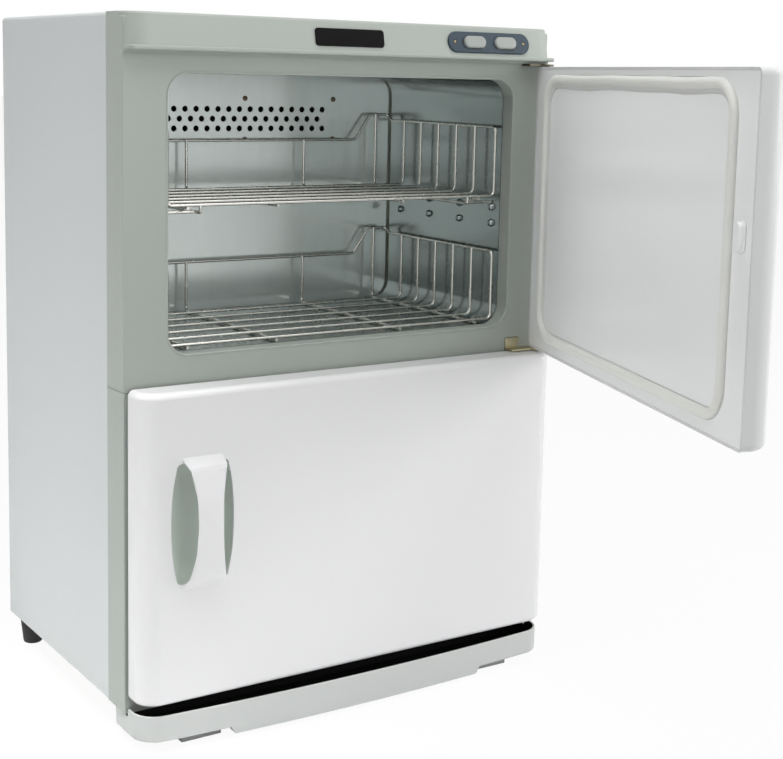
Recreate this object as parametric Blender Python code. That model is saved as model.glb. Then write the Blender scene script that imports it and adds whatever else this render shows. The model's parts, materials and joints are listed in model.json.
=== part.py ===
"""Two-deck towel warmer: painted casing, moulded front frames, two side-hinged doors and a drip tray.

Metres. X runs to the right, Y to the back and Z up. y = 0 is the face the doors close on, z = 0 the floor.
"""

import math

import bmesh
import bpy
from mathutils import Matrix, Vector

# Driving sizes of the cabinet
WIDTH = 0.450
CASE_DEPTH = 0.258
FRAME_DEPTH = 0.035
FOOT_HEIGHT = 0.030
REAR_SPACE = 0.0765

# Driving sizes of the front frames
OPENING_HEIGHT = 0.24245
STILE = 0.041
HEADER_HEIGHT = 0.0315
HEADER_REACH = 0.014
HEADER_LEAN = 0.006
HEADER_CORNER = 0.014
LIP_HEIGHT = 0.0022
LIP_REACH = 0.006
HEAD_RAIL = 0.0183
MID_RAIL = 0.0123
SILL = 0.030
SKIRT = 0.002
OPENING_RADIUS = 0.020
RETURN_DEPTH = 0.015

# Driving sizes of the doors
DOOR_DEPTH = 0.0272
DOOR_INSET = 0.0025
DOOR_CORNER = 0.018
DOOR_EDGE = 0.006
DOOR_LIFT = 0.0115
DOOR_OVER_SEAM = 0.0042
DOOR_GAP = 0.0035
DOOR_TOP_GAP = 0.0028
SEAL_SPACE = 0.0045
HINGE_INSET = 0.0095
HINGE_SET = 0.0125
OPEN_ANGLE = math.radians(71.6)
SEAL_WIDTH = 0.0095
SEAL_OUTSIDE = 0.005

# Driving sizes of the bow handle
HANDLE_INSET = 0.0598
HANDLE_RISE = 0.1611
CUP_HALF_WIDTH = 0.030
CUP_HALF_HEIGHT = 0.0535
CUP_BULGE = 0.0064
CUP_CORNER = 0.005
CUP_DEPTH = 0.0165
STRAP_HALF_LENGTH = 0.0585
STRAP_END = 0.041
STRAP_WAIST = 0.0236
STRAP_BOW = 0.018
STRAP_TOP_POWER = 5.0
STRAP_LOW_POWER = 2.6
STRAP_THICK = 0.0036

# Driving sizes of the control panel
BEZEL_LENGTH = 0.096
BEZEL_HEIGHT = 0.020
BEZEL_INSET = 0.083
CAP_LENGTH = 0.025
CAP_HEIGHT = 0.0117
CAP_PITCH = 0.0362
BUTTON_TRAVEL = 0.0025
BADGE_LENGTH = 0.072
BADGE_HEIGHT = 0.016
BADGE_SHIFT = 0.0147

# Driving sizes of the racks and of the lamp holes
WIRE = 0.0015
RACK_HEIGHT = 0.0677
RACK_CREST = 0.0738
RACK_DIP = 0.0467
CREST_RUN = 0.006
CREST_LENGTH = 0.0245
CREST_SLOPE = 0.0195
LONG_WIRE = 0.068
RUNNER_INSET = 0.032
SHELF_RISE = 0.119
RUNNER_DROP = 0.007
RACK_CLEAR = 0.007
RACK_SET = 0.002
RACK_WIRES = 6
WELD = 0.0003
WIRE_BEND = 0.005
CROSS_INSET = 0.0016
CROSS_BEND = 0.006
RUNNER_WELD = 0.0004
RUNNER_BEND = 0.002
PIP_START = 0.011
PIP_PITCH = 0.0545
PIP_ROWS = 0.016
PIP_REACH = 0.004
HOLE_COLUMNS = 16
HOLE_PITCH = 0.01236
HOLE_ROW = 0.0099
HOLE_RADIUS = 0.0031
HOLE_SHIFT = 0.004
LAMP_DROP = 0.0459

# Driving sizes of the drip tray and the feet
TRAY_BACK = 0.024
TRAY_REACH = 0.030
TRAY_BOW = 0.009
TRAY_CORNER = 0.022
TRAY_RIM = 0.033
TRAY_BOTTOM = 0.009
TRAY_LIP = 0.0055
TRAY_LIP_INSET = 0.0955
FRONT_FOOT_INSET = 0.0445
FRONT_FOOT_WIDTH = 0.0395
FRONT_FOOT_REACH = 0.022
REAR_FOOT_INSET = 0.0175
REAR_FOOT_RADIUS = 0.0095

# Wall thicknesses and working clearances
SHEET = 0.001
WALL = 0.003
DOOR_WALL = 0.0025
PLATE = 0.002
GAP = 0.0003
PIN_RADIUS = 0.0025
PIN_PLAY = 0.0003
BASE_FLANGE = 0.015
BALLAST_HALF_LENGTH = 0.075
BALLAST_DEPTH = 0.026
BALLAST_HALF_HEIGHT = 0.018
BALLAST_DROP = 0.008
THERMOSTAT_RISE = 0.055
CASE_BEND = 0.004

# Sizes that follow from the driving ones
HALF = WIDTH / 2
CASE_BACK = FRAME_DEPTH + CASE_DEPTH
FRAME_BOTTOM = FOOT_HEIGHT - SKIRT
OPENING_HALF = HALF - STILE
LOWER_OPENING = (FOOT_HEIGHT + SILL, FOOT_HEIGHT + SILL + OPENING_HEIGHT)
SEAM = LOWER_OPENING[1] + MID_RAIL
UPPER_OPENING = (SEAM + SILL, SEAM + SILL + OPENING_HEIGHT)
HEADER_BOTTOM = UPPER_OPENING[1] + HEAD_RAIL
CASE_TOP = HEADER_BOTTOM + HEADER_HEIGHT
LIP_BOTTOM = HEADER_BOTTOM - LIP_HEIGHT
LINER_BACK = CASE_BACK - REAR_SPACE
LINER_FRONT = RETURN_DEPTH + GAP
LINER_TRIM = 0.0005

LOWER_DOOR = (FOOT_HEIGHT + DOOR_LIFT, SEAM + DOOR_OVER_SEAM)
UPPER_DOOR = (LOWER_DOOR[1] + DOOR_GAP, LIP_BOTTOM - DOOR_TOP_GAP)
DOOR_HALF = HALF - DOOR_INSET
DOOR_REAR = -SEAL_SPACE
DOOR_FRONT = DOOR_REAR - DOOR_DEPTH
PANEL_FACE = DOOR_REAR - 0.0015
PANEL_REAR = PANEL_FACE - DOOR_WALL
GROOVE = 0.0012
HINGE_X = HALF - HINGE_INSET
HINGE_Y = -HINGE_SET

RACK_HALF = OPENING_HALF - RACK_CLEAR
RACK_FRONT = RETURN_DEPTH + RACK_SET
RACK_BACK = LINER_BACK - RACK_CLEAR - WIRE
RACK_DEPTH = RACK_BACK - RACK_FRONT
RACK_FOOT = 3 * WIRE - WELD
PIP_RADIUS = 0.0035

# The open door reaches furthest to the front, so the seat is set back until the whole box is centred
DOOR_SWING = HINGE_X + DOOR_HALF - DOOR_CORNER
DOOR_REACH = (DOOR_SWING * math.sin(OPEN_ANGLE)
              + (HINGE_Y - DOOR_FRONT - DOOR_CORNER) * math.cos(OPEN_ANGLE) + DOOR_CORNER - HINGE_Y)
SEAT_Y = (DOOR_REACH - CASE_BACK) / 2

CORNER_STEPS = 5
HIDDEN = []


def clear_scene():
    for obj in list(bpy.data.objects):
        bpy.data.objects.remove(obj, do_unlink=True)


def material(name, color, metallic, roughness):
    """A Principled material by name, made once."""
    found = bpy.data.materials.get(name)
    if found:
        return found
    mat = bpy.data.materials.new(name)
    mat.use_nodes = True
    shader = mat.node_tree.nodes["Principled BSDF"]
    shader.inputs["Base Color"].default_value = (*color, 1)
    shader.inputs["Metallic"].default_value = metallic
    shader.inputs["Roughness"].default_value = roughness
    mat.diffuse_color = (*color, 1)
    return mat


def white_paint():
    return material("white_paint", (0.80, 0.82, 0.83), 0.0, 0.35)


def frame_grey():
    return material("frame_grey", (0.45, 0.50, 0.47), 0.0, 0.45)


def door_white():
    return material("door_white", (0.84, 0.85, 0.86), 0.0, 0.2)


def lining_white():
    return material("lining_white", (0.80, 0.82, 0.83), 0.0, 0.3)


def liner_metal():
    return material("liner_metal", (0.62, 0.64, 0.65), 1.0, 0.35)


def rack_wire():
    return material("rack_wire", (0.75, 0.75, 0.73), 1.0, 0.2)


def seal_rubber():
    return material("seal_rubber", (0.78, 0.77, 0.70), 0.0, 0.6)


def cup_grey():
    return material("cup_grey", (0.36, 0.41, 0.38), 0.0, 0.5)


def tray_grey():
    return material("tray_grey", (0.62, 0.63, 0.61), 0.0, 0.5)


def black_plastic():
    return material("black_plastic", (0.02, 0.02, 0.02), 0.0, 0.4)


def bezel_blue():
    return material("bezel_blue", (0.10, 0.15, 0.26), 0.0, 0.4)


def button_white():
    return material("button_white", (0.80, 0.80, 0.77), 0.0, 0.35)


def zinc_steel():
    return material("zinc_steel", (0.58, 0.55, 0.44), 1.0, 0.3)


def black_rubber():
    return material("black_rubber", (0.03, 0.03, 0.03), 0.0, 0.8)


def foam():
    return material("foam", (0.75, 0.70, 0.52), 0.0, 0.9)


def lamp_glass():
    return material("lamp_glass", (0.85, 0.88, 0.92), 0.0, 0.1)


def heater_film():
    return material("heater_film", (0.50, 0.22, 0.08), 0.0, 0.5)


def led_amber():
    return material("led_amber", (0.75, 0.60, 0.35), 0.0, 0.25)


def empty(name, parent=None, location=(0, 0, 0), rotation=(0, 0, 0)):
    obj = bpy.data.objects.new(name, None)
    bpy.context.scene.collection.objects.link(obj)
    obj.parent = parent
    obj.location = location
    obj.rotation_euler = rotation
    return obj


def solid(name, bm, mat, parent, location=(0, 0, 0), rotation=(0, 0, 0), smooth=False):
    """An object from a bmesh, all faces turned outwards."""
    bmesh.ops.recalc_face_normals(bm, faces=bm.faces)
    mesh = bpy.data.meshes.new(name)
    bm.to_mesh(mesh)
    bm.free()
    for face in mesh.polygons:
        face.use_smooth = smooth
    mesh.materials.append(mat)
    obj = bpy.data.objects.new(name, mesh)
    bpy.context.scene.collection.objects.link(obj)
    obj.parent = parent
    obj.location = location
    obj.rotation_euler = rotation
    return obj


def combine(obj, bm, operation="DIFFERENCE"):
    """Cuts a bmesh out of an object, or joins it on, with a live Boolean."""
    number = len(HIDDEN)
    helper = solid(f"helper_{number}", bm, obj.data.materials[0], obj)
    helper.hide_render = True
    helper.display_type = "WIRE"
    HIDDEN.append(helper)
    mod = obj.modifiers.new(f"{operation.lower()}_{number}", "BOOLEAN")
    mod.solver = "EXACT"
    mod.operation = operation
    mod.object = helper
    return obj


def bevel(obj, width, segments=2, angle=50):
    mod = obj.modifiers.new("edge_rounding", "BEVEL")
    mod.width = width
    mod.segments = segments
    mod.limit_method = "ANGLE"
    mod.angle_limit = math.radians(angle)
    return obj


def fillet(points, radius, steps=3, closed=False):
    """Rounds the corners of a path, in the plane or in space."""
    path = [Vector(p) for p in points]
    out = []
    for i, here in enumerate(path):
        if not closed and i in (0, len(path) - 1):
            out.append(here)
            continue
        back = (path[i - 1] - here).normalized()
        ahead = (path[(i + 1) % len(path)] - here).normalized()
        half = back.angle(ahead) / 2
        if math.degrees(half) > 87:
            out.append(here)
            continue
        centre = here + (back + ahead).normalized() * (radius / math.sin(half))
        start = here + back * (radius / math.tan(half)) - centre
        end = here + ahead * (radius / math.tan(half)) - centre
        turn = start.angle(end)
        for k in range(steps + 1):
            share = k / steps
            mix = start * math.sin((1 - share) * turn) + end * math.sin(share * turn)
            out.append(centre + mix / math.sin(turn))
    return out


def rectangle(x0, z0, x1, z1, radius=0.0, steps=CORNER_STEPS):
    """A rectangle's outline, with rounded corners where a radius is given."""
    corners = [(x0, z0), (x1, z0), (x1, z1), (x0, z1)]
    return fillet(corners, radius, steps, closed=True) if radius else [Vector(c) for c in corners]


def stadium(half_length, half_height, steps=6):
    """A slot outline with round ends, about its middle."""
    out = []
    for side in (1, -1):
        for k in range(steps + 1):
            a = -math.pi / 2 + math.pi * k / steps
            x = side * (half_length - half_height + half_height * math.cos(a))
            out.append(Vector((x, side * half_height * math.sin(a))))
    return out


def circle(radius, sides, centre=(0, 0), start=0.0):
    turn = 2 * math.pi / sides
    angles = [(k + start) * turn for k in range(sides)]
    return [Vector((centre[0] + radius * math.cos(a), centre[1] + radius * math.sin(a))) for a in angles]


def mouth_outline(half_width, half_height):
    """The handle hole's outline: bulged sides and rounded corners, stretched to a size."""
    steps = 6
    bend = CUP_CORNER / CUP_HALF_HEIGHT
    spots = []
    for k in range(steps + 1):
        t = (1 - bend) * (2 * k / steps - 1)
        spots.append(Vector((CUP_HALF_WIDTH - CUP_BULGE * abs(t) ** 2.4, t * CUP_HALF_HEIGHT)))
    end = spots[-1].x - CUP_CORNER
    for k in (1, 2):
        a = math.pi / 4 * k
        spots.append(Vector((end + CUP_CORNER * math.cos(a), CUP_HALF_HEIGHT - CUP_CORNER + CUP_CORNER * math.sin(a))))
    right = [Vector((p.x, -p.y)) for p in reversed(spots[-2:])] + spots
    wide = half_width / CUP_HALF_WIDTH
    tall = half_height / CUP_HALF_HEIGHT
    return [Vector((side * p.x * wide, side * p.y * tall)) for side in (1, -1) for p in right]


def lift(outline, axis, height):
    """Puts a flat outline into space, across the named axis."""
    if axis == "X":
        return [Vector((height, p[0], p[1])) for p in outline]
    if axis == "Y":
        return [Vector((p[0], height, p[1])) for p in outline]
    return [Vector((p[0], p[1], height)) for p in outline]


def loft(loops, bm=None):
    """A closed solid through loops of equal length, capped at both ends."""
    bm = bm or bmesh.new()
    rings = [[bm.verts.new(p) for p in loop] for loop in loops]
    count = len(rings[0])
    for low, high in zip(rings, rings[1:]):
        for k in range(count):
            n = (k + 1) % count
            bm.faces.new((low[k], low[n], high[n], high[k]))
    bm.faces.new(rings[0])
    bm.faces.new(rings[-1])
    return bm


def prism(outline, axis, low, high, bm=None):
    return loft([lift(outline, axis, low), lift(outline, axis, high)], bm)


def box(low, high, bm=None):
    return prism(rectangle(low[0], low[1], high[0], high[1]), "Z", low[2], high[2], bm)


def hoop(loops, bm=None):
    """A closed ring: the loops run round a hole, and the last joins the first."""
    bm = bm or bmesh.new()
    rings = [[bm.verts.new(p) for p in loop] for loop in loops]
    count = len(rings[0])
    for low, high in zip(rings, rings[1:] + rings[:1]):
        for k in range(count):
            n = (k + 1) % count
            bm.faces.new((low[k], low[n], high[n], high[k]))
    return bm


def sleeve(outer, inner, axis, low, high):
    """A tube with the given outer and inner outlines."""
    return hoop([lift(outer, axis, low), lift(outer, axis, high), lift(inner, axis, high), lift(inner, axis, low)])


def sheet(path, thickness):
    """The outline of a bent sheet whose middle follows a flat path."""
    sides = ([], [])
    for i, here in enumerate(path):
        before = (here - path[i - 1]).normalized() if i else None
        after = (path[i + 1] - here).normalized() if i < len(path) - 1 else None
        along = ((before or after) + (after or before)).normalized()
        stretch = 1 / max(along.dot(before or after), 0.2)
        across = Vector((-along.y, along.x)) * (thickness / 2 * stretch)
        sides[0].append(here + across)
        sides[1].append(here - across)
    return sides[0] + sides[1][::-1]


def tube(path, radius, sides=5, closed=False, bm=None):
    """A round wire along a path in space."""
    bm = bm or bmesh.new()
    count = len(path)
    rings = []
    normal = None
    for i, here in enumerate(path):
        before = path[i - 1] if closed or i else here
        after = path[(i + 1) % count] if closed or i < count - 1 else here
        along = ((here - before).normalized() + (after - here).normalized()).normalized()
        if normal is None:
            normal = along.cross(Vector((0, 0, 1)))
            normal = normal if normal.length > 0.1 else Vector((1, 0, 0))
        normal = (normal - along * normal.dot(along)).normalized()
        side = along.cross(normal)
        ring = []
        for k in range(sides):
            a = 2 * math.pi * (k + 0.5) / sides
            ring.append(bm.verts.new(here + normal * (radius * math.cos(a)) + side * (radius * math.sin(a))))
        rings.append(ring)
    pairs = list(zip(rings, rings[1:] + rings[:1])) if closed else list(zip(rings, rings[1:]))
    for low, high in pairs:
        for k in range(sides):
            n = (k + 1) % sides
            bm.faces.new((low[k], low[n], high[n], high[k]))
    if not closed:
        bm.faces.new(rings[0])
        bm.faces.new(rings[-1])
    return bm


def moved(bm, offset):
    bmesh.ops.translate(bm, verts=bm.verts, vec=Vector(offset))
    return bm


def opening_outline(opening, grow=0.0):
    """A compartment opening's rounded outline, grown outwards by a margin."""
    return rectangle(-OPENING_HALF - grow, opening[0] - grow, OPENING_HALF + grow, opening[1] + grow,
                     OPENING_RADIUS + grow)


# Casing, base and back

def outer_casing(root):
    low = FOOT_HEIGHT
    edge = HALF - SHEET / 2
    top = CASE_TOP - SHEET / 2
    path = fillet([(-edge, low), (-edge, top), (edge, top), (edge, low)], CASE_BEND, 4)
    bm = prism(sheet(path, SHEET), "Y", FRAME_DEPTH + GAP, CASE_BACK)
    return solid("outer_casing", bm, white_paint(), root)


def base_plate(root):
    edge = HALF - SHEET - GAP - SHEET / 2
    floor = FOOT_HEIGHT + SHEET / 2
    flange = floor + BASE_FLANGE
    path = fillet([(-edge, flange), (-edge, floor), (edge, floor), (edge, flange)], 0.002, 3)
    bm = prism(sheet(path, SHEET), "Y", FRAME_DEPTH + GAP, CASE_BACK - SHEET - 2 * GAP)
    return solid("base_plate", bm, zinc_steel(), root)


def rear_cover(root):
    side = HALF - SHEET - GAP
    low = FOOT_HEIGHT + GAP
    high = CASE_TOP - SHEET - GAP
    outline = rectangle(-side, low, side, high, 0.004, 2)
    obj = solid("rear_cover", prism(outline, "Y", CASE_BACK - SHEET, CASE_BACK), white_paint(), root)
    slots = bmesh.new()
    for level in (UPPER_OPENING[1], LOWER_OPENING[1]):
        for row in range(3):
            for column in (-1, 0, 1):
                z = level - 0.024 - 0.012 * row
                x = column * SLOT_PITCH
                slot = [p + Vector((x, z)) for p in stadium(SLOT_HALF, 0.0025, 2)]
                prism(slot, "Y", CASE_BACK - 0.01, CASE_BACK + 0.01, slots)
    combine(obj, slots)
    hole = prism(circle(INLET_RADIUS + GAP, 16, inlet_place()), "Y", CASE_BACK - 0.01, CASE_BACK + 0.01)
    return combine(obj, hole)


INLET_RADIUS = 0.008
SLOT_HALF = 0.036
SLOT_PITCH = 0.090


def inlet_place():
    """Where the supply lead enters the back, in x and z."""
    return (HALF - 0.06, FOOT_HEIGHT + 0.035)


def inlet_gland(root):
    x, z = inlet_place()
    inner, outer, collar = 0.0045, INLET_RADIUS, 0.0115
    outside = CASE_BACK + GAP
    inside = CASE_BACK - SHEET - GAP
    steps = [(inner, outside + 0.0025), (collar, outside + 0.0025), (collar, outside), (outer, outside),
             (outer, inside), (collar, inside), (collar, inside - 0.008), (inner, inside - 0.008)]
    bm = hoop([lift(circle(r, 16, (x, z)), "Y", y) for r, y in steps])
    return solid("inlet_gland", bm, black_rubber(), root, smooth=False)


# Front frames

def header_loop(reach, z):
    """The visor's outline in plan at one height, its front corners rounded."""
    r = HEADER_CORNER
    back = FRAME_DEPTH
    front = fillet([(-HALF, back), (-HALF, -reach), (HALF, -reach), (HALF, back)], min(r, reach + back - 0.002), 5)
    return lift(front, "Z", z)


def frame_shell(name, low, high, root):
    """The block a moulded front is cut from."""
    bm = box((-HALF, 0, low), (HALF, FRAME_DEPTH, high))
    return solid(name, bm, frame_grey(), root)


def hollow_frame(obj, low, high, opening):
    """Cuts the opening, the hollow behind the face and the relief behind the short return."""
    combine(obj, prism(opening_outline(opening), "Y", -0.05, FRAME_DEPTH + 0.01))
    inner = opening_outline(opening, WALL)
    limit = min(OPENING_RADIUS + WALL, (high - low) / 4)
    outer = rectangle(-HALF + WALL, low + WALL, HALF - WALL, high - WALL, limit * 0.3)
    combine(obj, sleeve(outer, inner, "Y", WALL, FRAME_DEPTH + 0.01))
    reach = opening_outline(opening, WALL + 0.001)
    return combine(obj, prism(reach, "Y", RETURN_DEPTH, FRAME_DEPTH + 0.01))


def upper_front_frame(root):
    low = SEAM + GAP
    obj = frame_shell("upper_front_frame", low, CASE_TOP, root)
    crown = 0.003
    lean = HEADER_REACH - HEADER_LEAN
    visor = loft([header_loop(HEADER_REACH - 0.001, HEADER_BOTTOM), header_loop(HEADER_REACH, HEADER_BOTTOM + 0.001),
                  header_loop(lean + HEADER_LEAN * crown / HEADER_HEIGHT, CASE_TOP - crown),
                  header_loop(lean - 0.001, CASE_TOP - 0.001), header_loop(lean - crown, CASE_TOP)])
    combine(obj, visor, "UNION")
    combine(obj, box((-HALF, -LIP_REACH, LIP_BOTTOM), (HALF, 0.001, HEADER_BOTTOM + 0.001)), "UNION")
    hollow_frame(obj, low, CASE_TOP, UPPER_OPENING)
    pocket = [(WALL - HEADER_REACH + 0.001, HEADER_BOTTOM + WALL), (WALL - lean + 0.001, CASE_TOP - WALL - 0.0005),
              (WALL + 0.001, CASE_TOP - WALL - 0.0005), (WALL + 0.001, HEADER_BOTTOM + WALL)]
    room = HALF - HEADER_CORNER - WALL
    combine(obj, prism([Vector(p) for p in pocket], "X", -room, room))
    window = prism(stadium(BEZEL_LENGTH / 2 - 0.0035, CAP_HEIGHT / 2 + 0.001), "Y", -0.01, 0.012)
    place_on_panel(window, panel_x())
    combine(obj, window)
    return combine(obj, hinge_pocket(MIDDLE_LEAF, LEAF_RISE))


def lower_front_frame(root):
    high = SEAM - GAP
    obj = frame_shell("lower_front_frame", FRAME_BOTTOM, high, root)
    hollow_frame(obj, FRAME_BOTTOM, high, LOWER_OPENING)
    return combine(obj, hinge_pocket(BOTTOM_LEAF, LEAF_RISE))


# Hinges: each is a bent leaf with its pin, the middle one serves both doors

LEAF_INSET = 0.041
TOP_LEAF_INSET = 0.031
LEAF_WIDTH = 0.0165
LEAF_RISE = 0.012
PIN_LENGTH = 0.009
MIDDLE_LEAF = (LOWER_DOOR[1] + UPPER_DOOR[0]) / 2 - PLATE / 2
BOTTOM_LEAF = LOWER_DOOR[0] - 0.001 - PLATE
TOP_LEAF = LIP_BOTTOM - GAP - PLATE


def hinge_pocket(leaf, rise):
    """The shallow recess in a frame that an upright hinge leaf sits in."""
    x = HALF - LEAF_INSET
    return box((x - GAP, -0.01, leaf - GAP), (x + LEAF_WIDTH + GAP, PLATE, leaf + rise + GAP))


def flat_leaf(z, back, inset=LEAF_INSET):
    """A hinge's level leaf, round about the pin."""
    x = HALF - inset
    nose = [Vector((HINGE_X + 0.0065 * math.cos(a), HINGE_Y - 0.0065 * math.sin(a)))
            for a in (math.pi * k / 6 for k in range(7))]
    return prism([Vector((x, back)), Vector((x, HINGE_Y))] + nose[::-1]
                 + [Vector((HINGE_X + 0.0065, back))], "Z", z, z + PLATE)


def pin(low, high):
    return prism(circle(PIN_RADIUS, 10, (HINGE_X, HINGE_Y)), "Z", low, high)


def middle_hinge_bracket(root):
    x = HALF - LEAF_INSET
    z = MIDDLE_LEAF
    obj = solid("middle_hinge_bracket", flat_leaf(z, -GAP), zinc_steel(), root)
    combine(obj, box((x, -GAP - 0.0005, z), (x + LEAF_WIDTH, PLATE - GAP, z + LEAF_RISE)), "UNION")
    return combine(obj, pin(z - PIN_LENGTH, z + PLATE + PIN_LENGTH), "UNION")


def bottom_hinge_bracket(root):
    x = HALF - LEAF_INSET
    z = BOTTOM_LEAF
    obj = solid("bottom_hinge_bracket", flat_leaf(z, -GAP), zinc_steel(), root)
    combine(obj, box((x, -GAP - 0.0005, z), (x + LEAF_WIDTH, PLATE - GAP, z + LEAF_RISE)), "UNION")
    return combine(obj, pin(z + 0.0005, z + PLATE + PIN_LENGTH), "UNION")


def top_hinge_bracket(root):
    z = TOP_LEAF
    obj = solid("top_hinge_bracket", flat_leaf(z, -GAP, TOP_LEAF_INSET), zinc_steel(), root)
    return combine(obj, pin(z + 0.0005 - PIN_LENGTH, z + PLATE - 0.0002), "UNION")


# Compartments

def liner(name, opening, root):
    """A folded metal tunnel with two rows of pressed pips on each side wall."""
    inner = opening_outline(opening, -LINER_TRIM)
    outer = opening_outline(opening, SHEET - LINER_TRIM)
    obj = solid(name, sleeve(outer, inner, "Y", LINER_FRONT, LINER_BACK), liner_metal(), root)
    wall = OPENING_HALF - LINER_TRIM
    pips = bmesh.new()
    for side in (-1, 1):
        for z in (pip_level(opening), pip_level(opening) - PIP_ROWS):
            for column in range(4):
                y = pip_depth(column)
                loops = []
                for r, x in ((PIP_RADIUS, wall + SHEET / 2), (PIP_RADIUS * 0.6, wall - PIP_REACH)):
                    loops.append(lift(circle(r, 6, (y, z), 0.5), "X", side * x))
                loft(loops, pips)
    return combine(obj, pips, "UNION")


def pip_depth(column):
    """How far back a column of pips stands."""
    return RACK_FRONT + PIP_START + column * PIP_PITCH


def liner_floor(opening):
    return opening[0] + LINER_TRIM


def pip_level(opening):
    """Middle height of the upper row of pips, which carries the shelf rack."""
    return liner_floor(opening) + SHELF_RISE - PIP_RADIUS


def rear_panel(name, opening, root):
    """The compartment's back wall, with three staggered rows of holes before the lamp."""
    outline = opening_outline(opening, SHEET - LINER_TRIM + 0.004)
    y = LINER_BACK + GAP
    obj = solid(name, prism(outline, "Y", y, y + SHEET), liner_metal(), root)
    holes = bmesh.new()
    for row in (-1, 0, 1):
        count = HOLE_COLUMNS - (row == 0)
        for column in range(count):
            x = HOLE_SHIFT + (column - (count - 1) / 2) * HOLE_PITCH
            centre = (x, lamp_level(opening) + row * HOLE_ROW)
            prism(circle(HOLE_RADIUS, 6, centre), "Y", y - 0.005, y + 0.005, holes)
    return combine(obj, holes)


def lamp_level(opening):
    return opening[1] - LAMP_DROP


LAMP_HALF = HOLE_COLUMNS * HOLE_PITCH / 2 + 0.016
LAMP_BOX_HALF_HEIGHT = 0.025
LAMP_BOX_DEPTH = 0.040
LAMP_RADIUS = 0.0078
HOLDER_LENGTH = 0.012


def lamp_box(name, opening, root):
    """A folded tin behind the holes, open to the compartment."""
    z = lamp_level(opening)
    front = LINER_BACK + SHEET + 2 * GAP
    high = LAMP_BOX_HALF_HEIGHT
    obj = solid(name, box((-LAMP_HALF, front, z - high), (LAMP_HALF, front + LAMP_BOX_DEPTH, z + high)),
                zinc_steel(), root)
    room = box((-LAMP_HALF + SHEET, front - 0.01, z - high + SHEET),
               (LAMP_HALF - SHEET, front + LAMP_BOX_DEPTH - SHEET, z + high - SHEET))
    return combine(obj, room)


def lamp_axis(opening):
    """Depth and height of a lamp's middle line."""
    return (LINER_BACK + SHEET + 2 * GAP + LAMP_BOX_DEPTH * 0.5, lamp_level(opening))


def lamp_holder(name, opening, side, root):
    """A socket block on the tin's end wall, bored for the lamp's end."""
    y, z = lamp_axis(opening)
    reach = LAMP_BOX_DEPTH / 2 - SHEET - GAP
    outer = LAMP_HALF - SHEET - GAP
    low, high = sorted((side * (outer - HOLDER_LENGTH), side * outer))
    obj = solid(name, box((low, y - LAMP_RADIUS - 0.002, z - LAMP_RADIUS - 0.003), (high, y + reach, z + LAMP_RADIUS + 0.003)),
                button_white(), root)
    start, stop = sorted((side * (outer - HOLDER_LENGTH - 0.002), side * (outer - 0.003)))
    return combine(obj, prism(circle(LAMP_RADIUS + GAP, 12, (y, z)), "X", start, stop))


def uv_lamp(name, opening, root):
    y, z = lamp_axis(opening)
    end = LAMP_HALF - SHEET - 2 * GAP - 0.003
    stations = [(0.55, -end), (1, -end + 0.003), (1, end - 0.003), (0.55, end)]
    bm = loft([lift(circle(LAMP_RADIUS * share, 12, (y, z)), "X", x) for share, x in stations])
    return solid(name, bm, lamp_glass(), root, smooth=True)


HEATER_THICK = 0.0015


def heater_pad(name, opening, root):
    """A flat heating film under the compartment's floor."""
    top = opening[0] - SHEET + LINER_TRIM - GAP
    side = OPENING_HALF - OPENING_RADIUS - 0.006
    deep = (LINER_FRONT + LINER_BACK) / 2
    half = (LINER_BACK - FRAME_DEPTH) / 2 - 0.012
    outline = rectangle(-side, deep + 0.008 - half, side, deep + 0.008 + half, 0.006, 3)
    return solid(name, prism(outline, "Z", top - HEATER_THICK, top), heater_film(), root)


def insulation(name, opening, root):
    """A felt sleeve round the liner, clear of the heating film."""
    inner = SHEET - LINER_TRIM + HEATER_THICK + 2 * GAP
    bm = sleeve(opening_outline(opening, inner + 0.009), opening_outline(opening, inner), "Y",
                FRAME_DEPTH + 0.003, LINER_BACK - 0.002)
    return solid(name, bm, foam(), root)


def thermostat(name, opening, root):
    """A snap disc clipped behind the compartment's back wall."""
    x = -LAMP_HALF * 0.6
    z = opening[0] + THERMOSTAT_RISE
    y = LINER_BACK + SHEET + 2 * GAP
    steps = [(0.0085, y), (0.0085, y + 0.004), (0.011, y + 0.004), (0.011, y + 0.0055), (0.007, y + 0.0055), (0.007, y + 0.013)]
    bm = loft([lift(circle(r, 14, (x, z)), "Y", d) for r, d in steps])
    return solid(name, bm, black_plastic(), root)


def ballast(root):
    back = CASE_BACK - SHEET - GAP
    z = SEAM - BALLAST_DROP
    low = (-BALLAST_HALF_LENGTH, back - BALLAST_DEPTH, z - BALLAST_HALF_HEIGHT)
    high = (BALLAST_HALF_LENGTH, back, z + BALLAST_HALF_HEIGHT)
    obj = solid("ballast", box(low, high), white_paint(), root)
    return bevel(obj, 0.002, 2)


def terminal_block(root):
    """A row of screw terminals on the base, with open wire mouths."""
    x = inlet_place()[0] - 0.055
    low = FOOT_HEIGHT + SHEET + GAP
    y = CASE_BACK - SHEET - 0.030
    obj = solid("terminal_block", box((x - 0.024, y - 0.009, low), (x + 0.024, y + 0.009, low + 0.016)), button_white(), root)
    mouths = bmesh.new()
    for column in range(4):
        mouth = x - 0.018 + 0.012 * column
        prism(circle(0.0032, 8, (mouth, low + 0.007)), "Y", y - 0.012, y - 0.003, mouths)
    return combine(obj, mouths)


# Racks

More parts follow.
